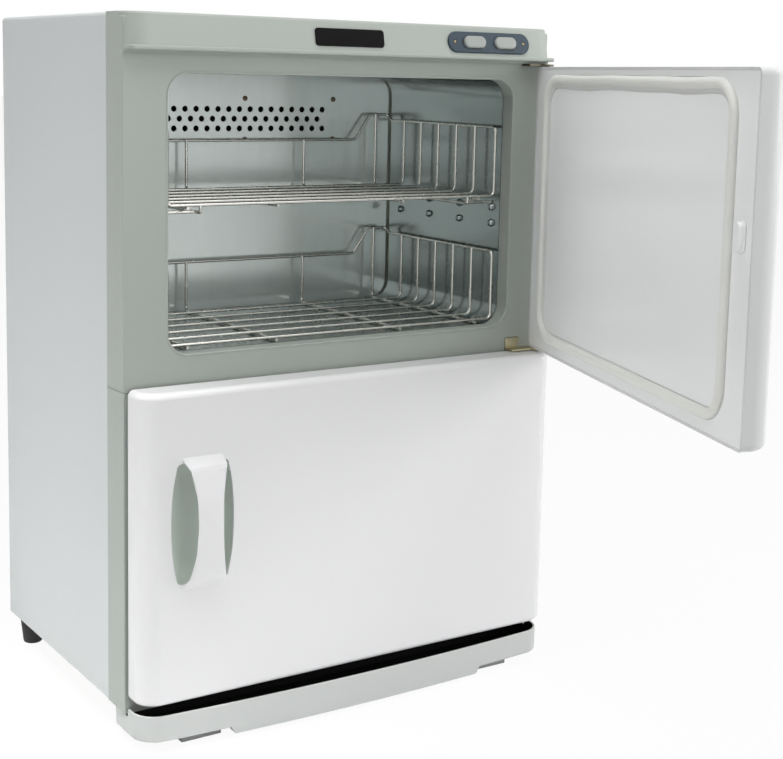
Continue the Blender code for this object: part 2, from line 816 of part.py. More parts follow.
def rack_frame_path():
    """The closed edge wire: low front bar, raised sides and a back rail that dips in the middle."""
    rail, crest, dip = RACK_HEIGHT, RACK_CREST, RACK_DIP
    half, deep = RACK_HALF, RACK_DEPTH
    start = half - CREST_LENGTH
    side = [(half, 0, 0), (half, 0, rail), (half, deep - CREST_RUN, rail), (half - 0.003, deep, crest),
            (start, deep, crest), (start - CREST_SLOPE, deep, dip)]
    mirrored = [(-x, y, z) for x, y, z in reversed(side)]
    middle = [(0, deep, dip)]
    return fillet([(0, 0, 0)] + side + middle + mirrored, WIRE_BEND, 2, closed=True)


def rack_cross_wires():
    """Wires from rail to rail: each runs down one side, across the floor and up the other."""
    bm = bmesh.new()
    reach = RACK_HALF - CROSS_INSET
    for k in range(1, RACK_WIRES):
        y = RACK_DEPTH * k / RACK_WIRES
        rail = RACK_HEIGHT
        path = fillet([(-reach, y, rail), (-reach, y, 0), (reach, y, 0), (reach, y, rail)], CROSS_BEND, 2)
        tube(path, WIRE, bm=bm)
    return bm


def rack_long_wires():
    """Wires under the floor from the front bar to the back, bent up to the back rail."""
    bm = bmesh.new()
    under = -2 * WIRE + WELD
    back = RACK_DEPTH - 2 * WIRE + WELD
    outer = RACK_HALF - CREST_LENGTH + WIRE_BEND
    for x, top in ((-outer, RACK_CREST), (-LONG_WIRE, RACK_DIP), (LONG_WIRE, RACK_DIP), (outer, RACK_CREST)):
        path = fillet([(x, 0.0, under), (x, back, under), (x, back, top + WIRE)], WIRE_BEND, 2)
        tube(path, WIRE, bm=bm)
    return bm


def rack_runners():
    """A shelf rack's two low runners, bent up to the front bar and to the last cross wire."""
    bm = bmesh.new()
    stop = RACK_DEPTH * (RACK_WIRES - 1) / RACK_WIRES
    for x in (RUNNER_INSET - RACK_HALF, RACK_HALF - RUNNER_INSET):
        ends = [(x, 0, RUNNER_WELD), (x, 0, -RUNNER_DROP), (x, stop, -RUNNER_DROP), (x, stop, RUNNER_WELD)]
        path = fillet(ends, RUNNER_BEND, 2)
        tube(path, WIRE, bm=bm)
    return bm


def rack_bearers():
    """Short level bars from a shelf rack's runners out to the walls, where they ride on the pips."""
    bm = bmesh.new()
    runner = RACK_HALF - RUNNER_INSET
    reach = OPENING_HALF - LINER_TRIM - SHEET
    for side in (-1, 1):
        for column in (0, 2):
            y = pip_depth(column) - RACK_FRONT
            tube([Vector((side * runner, y, -RUNNER_DROP)), Vector((side * reach, y, -RUNNER_DROP))], WIRE, 6, bm=bm)
    return bm


def rack(name, level, parent):
    """A welded wire basket, its floor wires at z = 0 of the object."""
    place = (0, RACK_FRONT, level)
    obj = solid(name, tube(rack_frame_path(), WIRE, closed=True), rack_wire(), parent, place, smooth=True)
    combine(obj, rack_cross_wires(), "UNION")
    return combine(obj, rack_long_wires(), "UNION")


def shelf_rack(name, opening, parent):
    obj = rack(name, shelf_rack_level(opening), parent)
    combine(obj, rack_runners(), "UNION")
    return combine(obj, rack_bearers(), "UNION")


def floor_rack_level(opening):
    return liner_floor(opening) + GAP + RACK_FOOT


def shelf_rack_level(opening):
    return pip_level(opening) + PIP_RADIUS + GAP + RUNNER_DROP + WIRE


# Doors, built closed about the hinge line

def door_outline(inset, rear):
    """A door's outline in plan, seen from above, with rounded front edges."""
    x0, x1 = -DOOR_HALF + inset - HINGE_X, DOOR_HALF - inset - HINGE_X
    front = DOOR_FRONT + inset - HINGE_Y
    radius = DOOR_CORNER - inset
    return fillet([(x0, rear - HINGE_Y), (x0, front), (x1, front), (x1, rear - HINGE_Y)], radius, 7)


def shrunk(outline, inset):
    """Pulls a door outline in by a margin at its front and its sides, for the rounded top and bottom edge."""
    left = min(p.x for p in outline)
    right = max(p.x for p in outline)
    front = min(p.y for p in outline)
    back = max(p.y for p in outline)
    width = (right - left - 2 * inset) / (right - left)
    depth = (back - front - inset) / (back - front)
    middle = (left + right) / 2
    return [Vector((middle + (p.x - middle) * width, back - (back - p.y) * depth)) for p in outline]


def door_block(door):
    """The door's outer form: rounded upright edges and a softened top and bottom edge."""
    low, high = door
    full = door_outline(0, DOOR_REAR)
    loops = []
    steps = 3
    for k in range(steps + 1):
        a = math.pi / 2 * k / steps
        loops.append(lift(shrunk(full, DOOR_EDGE * (1 - math.sin(a))), "Z", low + DOOR_EDGE * (1 - math.cos(a))))
    for k in range(steps + 1):
        a = math.pi / 2 * (1 - k / steps)
        loops.append(lift(shrunk(full, DOOR_EDGE * (1 - math.sin(a))), "Z", high - DOOR_EDGE * (1 - math.cos(a))))
    return loft(loops)


def handle_place(door):
    """The handle's middle on a door's front face, from the hinge line."""
    return Vector((-HALF + HANDLE_INSET - HINGE_X, DOOR_FRONT - HINGE_Y, door[0] + HANDLE_RISE))


def strap(door):
    """The bowed grip bar: wide where it leaves the skin, waisted in the middle."""
    middle = handle_place(door)
    loops = []
    stations = 12
    for k in range(stations + 1):
        t = -1 + 2 * k / stations
        power = STRAP_TOP_POWER if t > 0 else STRAP_LOW_POWER
        out = STRAP_BOW * (1 - abs(t) ** power)
        slope = STRAP_BOW * power * abs(t) ** (power - 1) * math.copysign(1, t) / STRAP_HALF_LENGTH
        normal = Vector((0, -1, slope)).normalized()
        half = (STRAP_WAIST + (STRAP_END - STRAP_WAIST) * abs(t) ** 2) / 2
        base = middle + Vector((0, -out, t * STRAP_HALF_LENGTH))
        edge = STRAP_THICK / 2
        section = [(half, 0.0), (half - edge * 0.6, edge * 0.8), (-half + edge * 0.6, edge * 0.8), (-half, 0.0),
                   (-half + edge * 0.6, -edge), (half - edge * 0.6, -edge)]
        loops.append([base + Vector((x, 0, 0)) + normal * (n - edge * 0.4) for x, n in section])
    return loft(loops)


def door_shell(name, door, hinge):
    """The moulded outer skin with its bow handle and the holes for the hinge pins."""
    obj = solid(name, door_block(door), door_white(), hinge)
    room = prism(door_outline(DOOR_WALL, DOOR_REAR + 0.02), "Z", door[0] + DOOR_WALL, door[1] - DOOR_WALL)
    combine(obj, room)
    place = handle_place(door)
    mouth = moved(prism(mouth_outline(CUP_HALF_WIDTH, CUP_HALF_HEIGHT), "Y", -0.02, DOOR_WALL + 0.002), place)
    combine(obj, mouth)
    combine(obj, strap(door), "UNION")
    holes = bmesh.new()
    for z in door:
        prism(circle(PIN_RADIUS + PIN_PLAY, 10), "Z", z - 0.006, z + 0.006, holes)
    return combine(obj, holes)


def inner_outline(door, inset):
    return rectangle(-DOOR_HALF + inset - HINGE_X, door[0] + inset, DOOR_HALF - inset - HINGE_X, door[1] - inset, 0.004, 3)


def seal_outline(opening, offset):
    line = opening_outline(opening, SEAL_OUTSIDE + offset)
    return [p - Vector((HINGE_X, 0)) for p in line]


def door_inner_panel(name, door, opening, hinge):
    """The flat lining inside the skin's rim, grooved for the seal."""
    outline = inner_outline(door, DOOR_WALL + GAP)
    obj = solid(name, prism(outline, "Y", PANEL_REAR - HINGE_Y, PANEL_FACE - HINGE_Y), lining_white(), hinge)
    half = SEAL_WIDTH / 2 + GAP
    groove = sleeve(seal_outline(opening, half), seal_outline(opening, -half), "Y",
                    PANEL_FACE - GROOVE - HINGE_Y, PANEL_FACE + 0.005 - HINGE_Y)
    return combine(obj, groove)


def door_seal(name, opening, hinge):
    """A soft bulb seal in the panel's groove, just meeting the frame when shut."""
    foot = PANEL_FACE - GROOVE + GAP
    top = -GAP
    half = SEAL_WIDTH / 2
    tall = top - foot
    profile = [(-half, 0), (half, 0), (half, 0.4), (half * 0.62, 0.84), (0, 1), (-half * 0.62, 0.84), (-half, 0.4)]
    loops = [lift(seal_outline(opening, o), "Y", foot + tall * h - HINGE_Y) for o, h in profile]
    return solid(name, hoop(loops), seal_rubber(), hinge, smooth=True)


def handle_cup(name, door, hinge):
    """The finger bowl behind the handle, seated on the back of the skin."""
    place = handle_place(door)
    seat = DOOR_WALL + GAP
    inside = [(0.18, 1.0), (0.55, 0.95), (0.80, 0.76), (0.94, 0.42), (1.0, 0.0)]
    thick = 0.0016
    rings = [(s, s, seat + CUP_DEPTH * d) for s, d in inside]
    rim = 1 + 0.004 / CUP_HALF_WIDTH
    tall = 1 + 0.004 / CUP_HALF_HEIGHT
    rings += [(rim, tall, seat), (rim, tall, seat + thick)]
    wide = thick / CUP_HALF_WIDTH
    for s, d in reversed(inside[:-1]):
        rings.append((s + wide, s + wide / 2, seat + CUP_DEPTH * d + thick))
    loops = []
    for w, h, y in rings:
        loops.append(lift(mouth_outline(CUP_HALF_WIDTH * w, CUP_HALF_HEIGHT * h), "Y", y))
    bm = moved(loft(loops), place)
    return solid(name, bm, cup_grey(), hinge, smooth=True)


def door_foam(name, door, hinge):
    """The filling between skin and lining, cut away round the handle bowl and the hinge pins."""
    front = DOOR_FRONT + DOOR_WALL + GAP - HINGE_Y
    back = PANEL_REAR - GAP - HINGE_Y
    low, high = door
    left = -DOOR_HALF + DOOR_CORNER - HINGE_X
    outline = rectangle(left, front, -0.014, back)
    obj = solid(name, prism(outline, "Z", low + DOOR_EDGE + GAP, high - DOOR_EDGE - GAP), foam(), hinge)
    place = handle_place(door)
    hole = prism(mouth_outline(CUP_HALF_WIDTH + 0.007, CUP_HALF_HEIGHT + 0.007), "Y", -0.01, DOOR_DEPTH + 0.01)
    return combine(obj, moved(hole, place))


CATCH_INSET = 0.0225
CATCH_HALF_WIDTH = 0.005
CATCH_HALF_HEIGHT = 0.0125


def door_catch(name, door, hinge):
    """The magnet catch: a pill-shaped stud on the lining near the free edge."""
    middle = Vector((-HALF + CATCH_INSET - HINGE_X, 0, (door[0] + door[1]) / 2 + 0.0175))
    foot = PANEL_FACE + GAP - HINGE_Y
    top = -0.0006 - HINGE_Y
    loops = []
    for share, y in ((1.0, foot), (1.0, top - 0.0015), (0.8, top - 0.0004), (0.6, top)):
        pill = stadium(CATCH_HALF_HEIGHT - CATCH_HALF_WIDTH * (1 - share), CATCH_HALF_WIDTH * share, 6)
        loops.append(lift([Vector((p.y, p.x)) for p in pill], "Y", y))
    return solid(name, moved(loft(loops), middle), door_white(), hinge, smooth=True)


def make_door(prefix, door, opening, angle, root):
    """One whole door on an empty that stands on its hinge line."""
    hinge = empty(f"{prefix}_hinge", root, (HINGE_X, HINGE_Y, 0), (0, 0, angle))
    door_shell(f"{prefix}_shell", door, hinge)
    door_inner_panel(f"{prefix}_inner_panel", door, opening, hinge)
    door_seal(f"{prefix}_seal", opening, hinge)
    handle_cup(f"{prefix}_handle_cup", door, hinge)
    door_foam(f"{prefix}_foam", door, hinge)
    door_catch(f"{prefix}_catch", door, hinge)


# Control panel on the leaning visor, placed by an empty on its face

PANEL_TILT = math.atan2(HEADER_LEAN, HEADER_HEIGHT)
PANEL_Z = (HEADER_BOTTOM + CASE_TOP) / 2
PANEL_Y = HEADER_LEAN / 2 - HEADER_REACH
BEZEL_THICK = 0.0018


def panel_x():
    """Middle of the switch plate, across the cabinet."""
    return HALF - BEZEL_INSET


def place_on_panel(bm, x):
    """Moves a solid built about the origin onto the leaning face."""
    turn = Matrix.Translation((x, PANEL_Y, PANEL_Z)) @ Matrix.Rotation(-PANEL_TILT, 4, "X")
    bmesh.ops.transform(bm, matrix=turn, verts=bm.verts)
    return bm


def control_bezel(panel):
    outline = stadium(BEZEL_LENGTH / 2, BEZEL_HEIGHT / 2)
    rim = stadium(BEZEL_LENGTH / 2 - 0.0008, BEZEL_HEIGHT / 2 - 0.0008)
    front = -GAP - BEZEL_THICK
    bm = loft([lift(outline, "Y", -GAP), lift(outline, "Y", front + 0.0008), lift(rim, "Y", front)])
    obj = solid("control_bezel", bm, bezel_blue(), panel)
    cuts = bmesh.new()
    for side in (-1, 1):
        window = [p + Vector((side * CAP_PITCH / 2, 0)) for p in stadium(CAP_LENGTH / 2 + 0.0005, CAP_HEIGHT / 2 + 0.0005)]
        prism(window, "Y", -0.01, 0.01, cuts)
        prism(circle(LED_RADIUS + GAP, 8, (side * LED_PLACE, 0)), "Y", -0.01, 0.01, cuts)
    return combine(obj, cuts)


LED_RADIUS = 0.0016
LED_PLACE = BEZEL_LENGTH / 2 - 0.0075


def push_button(name, side, panel):
    """A pill cap on a stem that slides in its switch."""
    full = stadium(CAP_LENGTH / 2, CAP_HEIGHT / 2)
    front = -0.0048
    loops = [lift(full, "Y", 0.0040), lift(full, "Y", front + 0.0014),
             lift(stadium(CAP_LENGTH / 2 - 0.0006, CAP_HEIGHT / 2 - 0.0006), "Y", front + 0.0004),
             lift(stadium(CAP_LENGTH / 2 - 0.0016, CAP_HEIGHT / 2 - 0.0016), "Y", front)]
    obj = solid(name, loft(loops), button_white(), panel, (side * CAP_PITCH / 2, 0, 0))
    return combine(obj, box((-0.003, 0.0035, -0.002), (0.003, 0.0125, 0.002)), "UNION")


def switch_body(name, side, panel):
    """The switch behind a cap, open in front for the stem."""
    front = 0.0040 + BUTTON_TRAVEL + 0.001
    place = (side * CAP_PITCH / 2, 0, 0)
    obj = solid(name, box((-0.0125, front, -0.0065), (0.0125, front + 0.016, 0.0065)), black_plastic(), panel, place)
    stop = 0.0125 + BUTTON_TRAVEL + 0.001
    return combine(obj, box((-0.003 - GAP, front - 0.002, -0.002 - GAP), (0.003 + GAP, stop, 0.002 + GAP)))


def indicator(name, side, panel):
    stations = [(0.9, 0.002), (1, -0.0016), (0.7, -0.0026)]
    bm = loft([lift(circle(LED_RADIUS * s, 8), "Y", y) for s, y in stations])
    return solid(name, bm, led_amber(), panel, (side * LED_PLACE, 0, 0), smooth=True)


def badge_plate(root):
    """A bare plate on the visor, left of the switches."""
    outline = rectangle(-BADGE_LENGTH / 2, -BADGE_HEIGHT / 2, BADGE_LENGTH / 2, BADGE_HEIGHT / 2, 0.003, 3)
    rim = rectangle(-BADGE_LENGTH / 2 + 0.0005, -BADGE_HEIGHT / 2 + 0.0005,
                    BADGE_LENGTH / 2 - 0.0005, BADGE_HEIGHT / 2 - 0.0005, 0.0025, 3)
    bm = loft([lift(outline, "Y", -GAP), lift(outline, "Y", -GAP - 0.0008), lift(rim, "Y", -GAP - 0.0014)])
    return solid("badge_plate", bm, black_plastic(), root, (-BADGE_SHIFT, PANEL_Y, PANEL_Z), (-PANEL_TILT, 0, 0))


# Drip tray and feet

def tray_outline(inset, back):
    """The tray in plan: straight ends, rounded front corners and a bowed front."""
    half = HALF - DOOR_INSET - inset
    reach = TRAY_REACH - inset
    radius = TRAY_CORNER - inset
    points = fillet([(-half, back), (-half, -reach), (half, -reach), (half, back)], radius, 6)
    out = []
    for i, p in enumerate(points):
        bow = TRAY_BOW * (1 - (p.x / half) ** 2) if p.y < -reach + radius else 0
        out.append(Vector((p.x, p.y - bow)))
        following = points[(i + 1) % len(points)]
        if following.x - p.x > half:
            for k in range(1, 8):
                x = p.x + (following.x - p.x) * k / 8
                out.append(Vector((x, -reach - TRAY_BOW * (1 - (x / half) ** 2))))
    return out


def drip_tray(root):
    """An open trough under the doors, with a finger lip along the middle of its front."""
    obj = solid("drip_tray", prism(tray_outline(0, TRAY_BACK), "Z", TRAY_BOTTOM, TRAY_RIM), tray_grey(), root)
    room = prism(tray_outline(DOOR_WALL, TRAY_BACK - DOOR_WALL), "Z", TRAY_BOTTOM + DOOR_WALL, TRAY_RIM + 0.02)
    combine(obj, room)
    under = FRAME_BOTTOM - 0.0015
    combine(obj, box((-HALF - 0.01, -0.0015, under), (HALF + 0.01, TRAY_BACK + 0.01, TRAY_RIM + 0.01)))
    half = HALF - TRAY_LIP_INSET
    slant = TRAY_LIP
    lip = bmesh.new()
    loops = []
    front = [p for p in tray_outline(0.0004, TRAY_BACK) if abs(p.x) < half and p.y < 0]
    for z, spread in ((TRAY_BOTTOM - TRAY_LIP, 0.0), (TRAY_BOTTOM + 0.001, slant)):
        stretch = (half + spread) / half
        near = [Vector((p.x * stretch, p.y)) for p in front]
        far = [Vector((p.x, p.y + 0.010)) for p in reversed(near)]
        loops.append(lift(near + far, "Z", z))
    loft(loops, lip)
    return combine(obj, lip, "UNION")


def front_foot(name, side, root):
    """A flat runner foot: a block under the base and a tongue that carries the tray."""
    inner = HALF - FRONT_FOOT_INSET - FRONT_FOOT_WIDTH
    outer = HALF - FRONT_FOOT_INSET
    low, high = sorted((side * inner, side * outer))
    start = max(TRAY_BACK + 0.004, FRAME_DEPTH + 0.002)
    profile = [(-FRONT_FOOT_REACH, 0), (start + 0.045, 0), (start + 0.045, FOOT_HEIGHT - GAP),
               (start, FOOT_HEIGHT - GAP), (start, TRAY_BOTTOM - GAP), (-FRONT_FOOT_REACH, TRAY_BOTTOM - GAP)]
    obj = solid(name, prism([Vector(p) for p in profile], "X", low, high), tray_grey(), root)
    return bevel(obj, 0.0008, 1)


def rear_foot(name, side, root):
    """A tapered rubber buffer."""
    r = REAR_FOOT_RADIUS
    top = FOOT_HEIGHT - GAP
    steps = [(r - 0.001, 0), (r, 0.001), (r * 1.3, top - 0.004), (r * 1.3, top)]
    bm = loft([lift(circle(radius, 18), "Z", z) for radius, z in steps])
    place = (side * (HALF - REAR_FOOT_INSET), CASE_BACK - REAR_FOOT_INSET, 0)
    return solid(name, bm, black_rubber(), root, place, smooth=True)


def build_cabinet(root):
    outer_casing(root)
    base_plate(root)
    rear_cover(root)
    inlet_gland(root)
    upper_front_frame(root)
    lower_front_frame(root)
    top_hinge_bracket(root)
    middle_hinge_bracket(root)
    bottom_hinge_bracket(root)
    ballast(root)
    terminal_block(root)
    badge_plate(root)
    for side, word in ((-1, "left"), (1, "right")):
        front_foot(f"front_foot_{word}", side, root)
        rear_foot(f"rear_foot_{word}", side, root)


def build_compartment(deck, opening, root):
    liner(f"{deck}_liner", opening, root)
    rear_panel(f"{deck}_rear_panel", opening, root)
    lamp_box(f"{deck}_lamp_box", opening, root)
    uv_lamp(f"{deck}_uv_lamp", opening, root)
    lamp_holder(f"{deck}_lamp_holder_left", opening, -1, root)
    lamp_holder(f"{deck}_lamp_holder_right", opening, 1, root)
    heater_pad(f"{deck}_heater_pad", opening, root)
    insulation(f"{deck}_insulation", opening, root)
    thermostat(f"{deck}_thermostat", opening, root)
    shelf_rack(f"{deck}_shelf_rack", opening, root)
    rack(f"{deck}_floor_rack", floor_rack_level(opening), root)


def build_controls(root):
    panel = empty("control_panel", root, (panel_x(), PANEL_Y, PANEL_Z), (-PANEL_TILT, 0, 0))
    control_bezel(panel)
    for side, word in ((-1, "heat"), (1, "uv")):
        push_button(f"{word}_button", side, panel)
        switch_body(f"{word}_switch", side, panel)
        indicator(f"{word}_indicator", side, panel)


def main():
    clear_scene()
    root = empty("cabinet", None, (0, SEAT_Y, 0))
    build_cabinet(root)
    build_compartment("upper", UPPER_OPENING, root)
    build_compartment("lower", LOWER_OPENING, root)
    make_door("upper_door", UPPER_DOOR, UPPER_OPENING, OPEN_ANGLE, root)
    make_door("lower_door", LOWER_DOOR, LOWER_OPENING, 0, root)
    build_controls(root)
    drip_tray(root)


main()
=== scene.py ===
"""Looks of the two-deck towel warmer cabinet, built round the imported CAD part."""

import json
import math

import bmesh
import bpy
from mathutils import Matrix, Vector, noise


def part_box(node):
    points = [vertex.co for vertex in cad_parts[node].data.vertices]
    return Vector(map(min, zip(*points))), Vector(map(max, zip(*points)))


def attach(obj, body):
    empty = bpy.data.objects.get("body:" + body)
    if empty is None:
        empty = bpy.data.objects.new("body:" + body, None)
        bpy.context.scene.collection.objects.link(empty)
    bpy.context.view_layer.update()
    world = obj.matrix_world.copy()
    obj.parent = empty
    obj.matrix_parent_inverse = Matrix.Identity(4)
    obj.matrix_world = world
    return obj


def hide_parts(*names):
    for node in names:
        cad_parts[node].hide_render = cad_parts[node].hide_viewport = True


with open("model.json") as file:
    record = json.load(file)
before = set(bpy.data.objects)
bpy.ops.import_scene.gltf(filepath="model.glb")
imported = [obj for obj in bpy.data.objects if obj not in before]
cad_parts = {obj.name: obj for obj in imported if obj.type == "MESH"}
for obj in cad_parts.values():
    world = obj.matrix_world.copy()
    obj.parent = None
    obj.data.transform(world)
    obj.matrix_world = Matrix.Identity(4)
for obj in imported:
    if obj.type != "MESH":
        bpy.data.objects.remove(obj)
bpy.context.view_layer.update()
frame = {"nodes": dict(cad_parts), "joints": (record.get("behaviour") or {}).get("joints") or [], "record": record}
NODES = frame["nodes"]
JOINTS = {joint["name"]: joint for joint in frame["joints"]}

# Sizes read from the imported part, in metres

CASING_LOW, CASING_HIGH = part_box("outer_casing")
LOWER_FRAME_LOW, LOWER_FRAME_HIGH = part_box("lower_front_frame")
SEAT = LOWER_FRAME_LOW.y
HALF = CASING_HIGH.x
CASE_TOP = CASING_HIGH.z
CASE_BACK = CASING_HIGH.y - SEAT
FOOT_HEIGHT = CASING_LOW.z
FRAME_DEPTH = LOWER_FRAME_HIGH.y - SEAT
FRAME_BOTTOM = LOWER_FRAME_LOW.z
UPPER_FRAME_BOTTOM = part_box("upper_front_frame")[0].z
HINGE_X = JOINTS["upper_door_hinge"]["pos_m"][0]
HINGE_Y = JOINTS["upper_door_hinge"]["pos_m"][1] - SEAT
OPEN_ANGLE = math.radians(-JOINTS["upper_door_hinge"]["range_deg"][0])

# Sizes that repeat the part's own

SHEET = 0.001
GAP = 0.0003
WALL = 0.003
CASE_BEND = 0.004
LINER_TRIM = 0.0005
OPENING_RADIUS = 0.020
RETURN_DEPTH = 0.015
HEADER_BOTTOM = 0.6055
HEADER_REACH = 0.014
HEADER_LEAN = 0.006
HEADER_CROWN = 0.003
LIP_BOTTOM = 0.6033
LIP_REACH = 0.006
DOOR_HALF = 0.2225
DOOR_FRONT = -0.0317
DOOR_WALL = 0.0025
DOOR_EDGE = 0.006
PANEL_FACE = -0.006
PANEL_REAR = -0.0085
GROOVE = 0.0012
SEAL_OUTSIDE = 0.005
SEAL_HALF = 0.00475
HANDLE_INSET = 0.0598
HANDLE_RISE = 0.1611
CUP_HALF_WIDTH = 0.030
CUP_HALF_HEIGHT = 0.0535
CUP_BULGE = 0.0064
CUP_CORNER = 0.005
CUP_DEPTH = 0.0165
STRAP_END = 0.041
STRAP_WAIST = 0.0236
CATCH_RISE = 0.0175
LEAF_INSET = 0.041
LEAF_WIDTH = 0.0165
LEAF_RISE = 0.012
PIN_LENGTH = 0.009
PLATE = 0.002
WIRE = 0.0015
RACK_FRONT = 0.017
RACK_DEPTH = 0.191
RACK_HALF = 0.177
RACK_HEIGHT = 0.0677
RACK_CREST = 0.0738
RACK_DIP = 0.0467
CREST_RUN = 0.006
CREST_LENGTH = 0.0245
CREST_SLOPE = 0.0195
LONG_WIRE = 0.068
RUNNER_INSET = 0.032
WELD = 0.0003
WIRE_BEND = 0.005
CROSS_INSET = 0.0016
CROSS_BEND = 0.006
RACK_WIRES = 6
RUNNER_DROP = 0.007
PIP_RADIUS = 0.0035
PIP_REACH = 0.004
PIP_ROWS = 0.016
PIP_START = 0.011
PIP_PITCH = 0.0545
SHELF_RISE = 0.119
HOLE_RADIUS = 0.0031
HOLE_PITCH = 0.01236
HOLE_ROW = 0.0099
HOLE_COLUMNS = 16
HOLE_SHIFT = 0.004
BEZEL_LENGTH = 0.096
BEZEL_HEIGHT = 0.020
BEZEL_THICK = 0.0018
CAP_LENGTH = 0.025
CAP_HEIGHT = 0.0117
CAP_PITCH = 0.0362
CAP_FRONT = 0.0048
LED_RADIUS = 0.0016
BADGE_LENGTH = 0.072
BADGE_HEIGHT = 0.016
TRAY_BACK = 0.024
TRAY_REACH = 0.030
TRAY_BOW = 0.009
TRAY_CORNER = 0.022
TRAY_RIM = 0.033
TRAY_BOTTOM = 0.009
TRAY_LIP = 0.0055
TRAY_HALF = 0.2225

# Sizes where a shown piece departs a little from its solid

HEADER_CORNER = 0.020
DOOR_CORNER = 0.0184
DOOR_REARS = {"upper": -0.0055, "lower": -0.0028}
SEAL_DROP = 0.0040
SEAL_SHIFT = 0.0030
STRAP_THICK = 0.0034
CATCH_INSET = 0.0200
BEZEL_INSET = 0.0812
BADGE_SHIFT = 0.0117
TRAY_LIP_HALF = 0.1375
RUNNER_BEND = 0.003
FRAME_SEAM = 0.0001

# How far a cutting shape stands out past what it cuts
CLEAR = 0.01

# Places in the row frame

CABINET = Matrix.Translation((0, SEAT, 0))
PANEL_TILT = math.atan2(HEADER_LEAN, CASE_TOP - HEADER_BOTTOM)
PANEL_Y = HEADER_LEAN / 2 - HEADER_REACH
PANEL_Z = (HEADER_BOTTOM + CASE_TOP) / 2
LEAN = Matrix.Rotation(-PANEL_TILT, 4, "X")
SWITCH_PANEL = CABINET @ Matrix.Translation((HALF - BEZEL_INSET, PANEL_Y, PANEL_Z)) @ LEAN
BADGE_PLACE = CABINET @ Matrix.Translation((-BADGE_SHIFT, PANEL_Y, PANEL_Z)) @ LEAN
HINGE_LINE = CABINET @ Matrix.Translation((HINGE_X, HINGE_Y, 0))
DOOR_PLACES = {"upper": HINGE_LINE @ Matrix.Rotation(OPEN_ANGLE, 4, "Z"), "lower": HINGE_LINE}


def opening_of(deck):
    """Bottom, top and half width of a compartment's opening."""
    low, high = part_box(f"{deck}_liner")
    trim = SHEET - LINER_TRIM
    return low.z + trim, high.z - trim, high.x - trim


def door_span(deck):
    """Bottom and top of a door."""
    low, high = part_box(f"{deck}_door_shell")
    return low.z, high.z


# Finishes

def linear(tone):
    """A display colour of 0 to 255 as the linear colour that a shader takes."""
    out = []
    for value in tone:
        share = value / 255
        out.append(share / 12.92 if share <= 0.04045 else ((share + 0.055) / 1.055) ** 2.4)
    return (*out, 1.0)


def noise_node(tree, vector, scale, detail=3.0):
    node = tree.nodes.new("ShaderNodeTexNoise")
    node.inputs["Scale"].default_value = scale
    node.inputs["Detail"].default_value = detail
    tree.links.new(vector, node.inputs["Vector"])
    return node.outputs["Fac"]


def finish(name, tone, rough, metal=0.0, mottle=0.03, patch=9.0, grain=600.0, bump=0.02,
           stretch=(1, 1, 1), coat=0.0, level=0.5):
    """A procedural finish: soft tone patches, uneven gloss and a fine surface grain."""
    mat = bpy.data.materials.new(name)
    mat.use_nodes = True
    tree = mat.node_tree
    shader = tree.nodes["Principled BSDF"]
    place = tree.nodes.new("ShaderNodeTexCoord")
    mapping = tree.nodes.new("ShaderNodeMapping")
    mapping.inputs["Scale"].default_value = stretch
    tree.links.new(place.outputs["Object"], mapping.inputs["Vector"])
    spot = mapping.outputs["Vector"]
    blend = tree.nodes.new("ShaderNodeMix")
    blend.data_type = "RGBA"
    base = linear(tone)
    blend.inputs["A"].default_value = (*[c * (1 - mottle) for c in base[:3]], 1)
    blend.inputs["B"].default_value = (*[min(c * (1 + mottle), 1) for c in base[:3]], 1)
    tree.links.new(noise_node(tree, spot, patch), blend.inputs["Factor"])
    tree.links.new(blend.outputs["Result"], shader.inputs["Base Color"])
    gloss = tree.nodes.new("ShaderNodeMapRange")
    gloss.inputs["To Min"].default_value = rough * 0.85
    gloss.inputs["To Max"].default_value = rough * 1.15
    tree.links.new(noise_node(tree, spot, patch * 5), gloss.inputs["Value"])
    tree.links.new(gloss.outputs["Result"], shader.inputs["Roughness"])
    relief = tree.nodes.new("ShaderNodeBump")
    relief.inputs["Strength"].default_value = bump
    relief.inputs["Distance"].default_value = 0.0004
    tree.links.new(noise_node(tree, spot, grain, 2.0), relief.inputs["Height"])
    tree.links.new(relief.outputs["Normal"], shader.inputs["Normal"])
    shader.inputs["Metallic"].default_value = metal
    shader.inputs["Specular IOR Level"].default_value = level
    shader.inputs["Coat Weight"].default_value = coat
    shader.inputs["Coat Roughness"].default_value = 0.08
    return mat


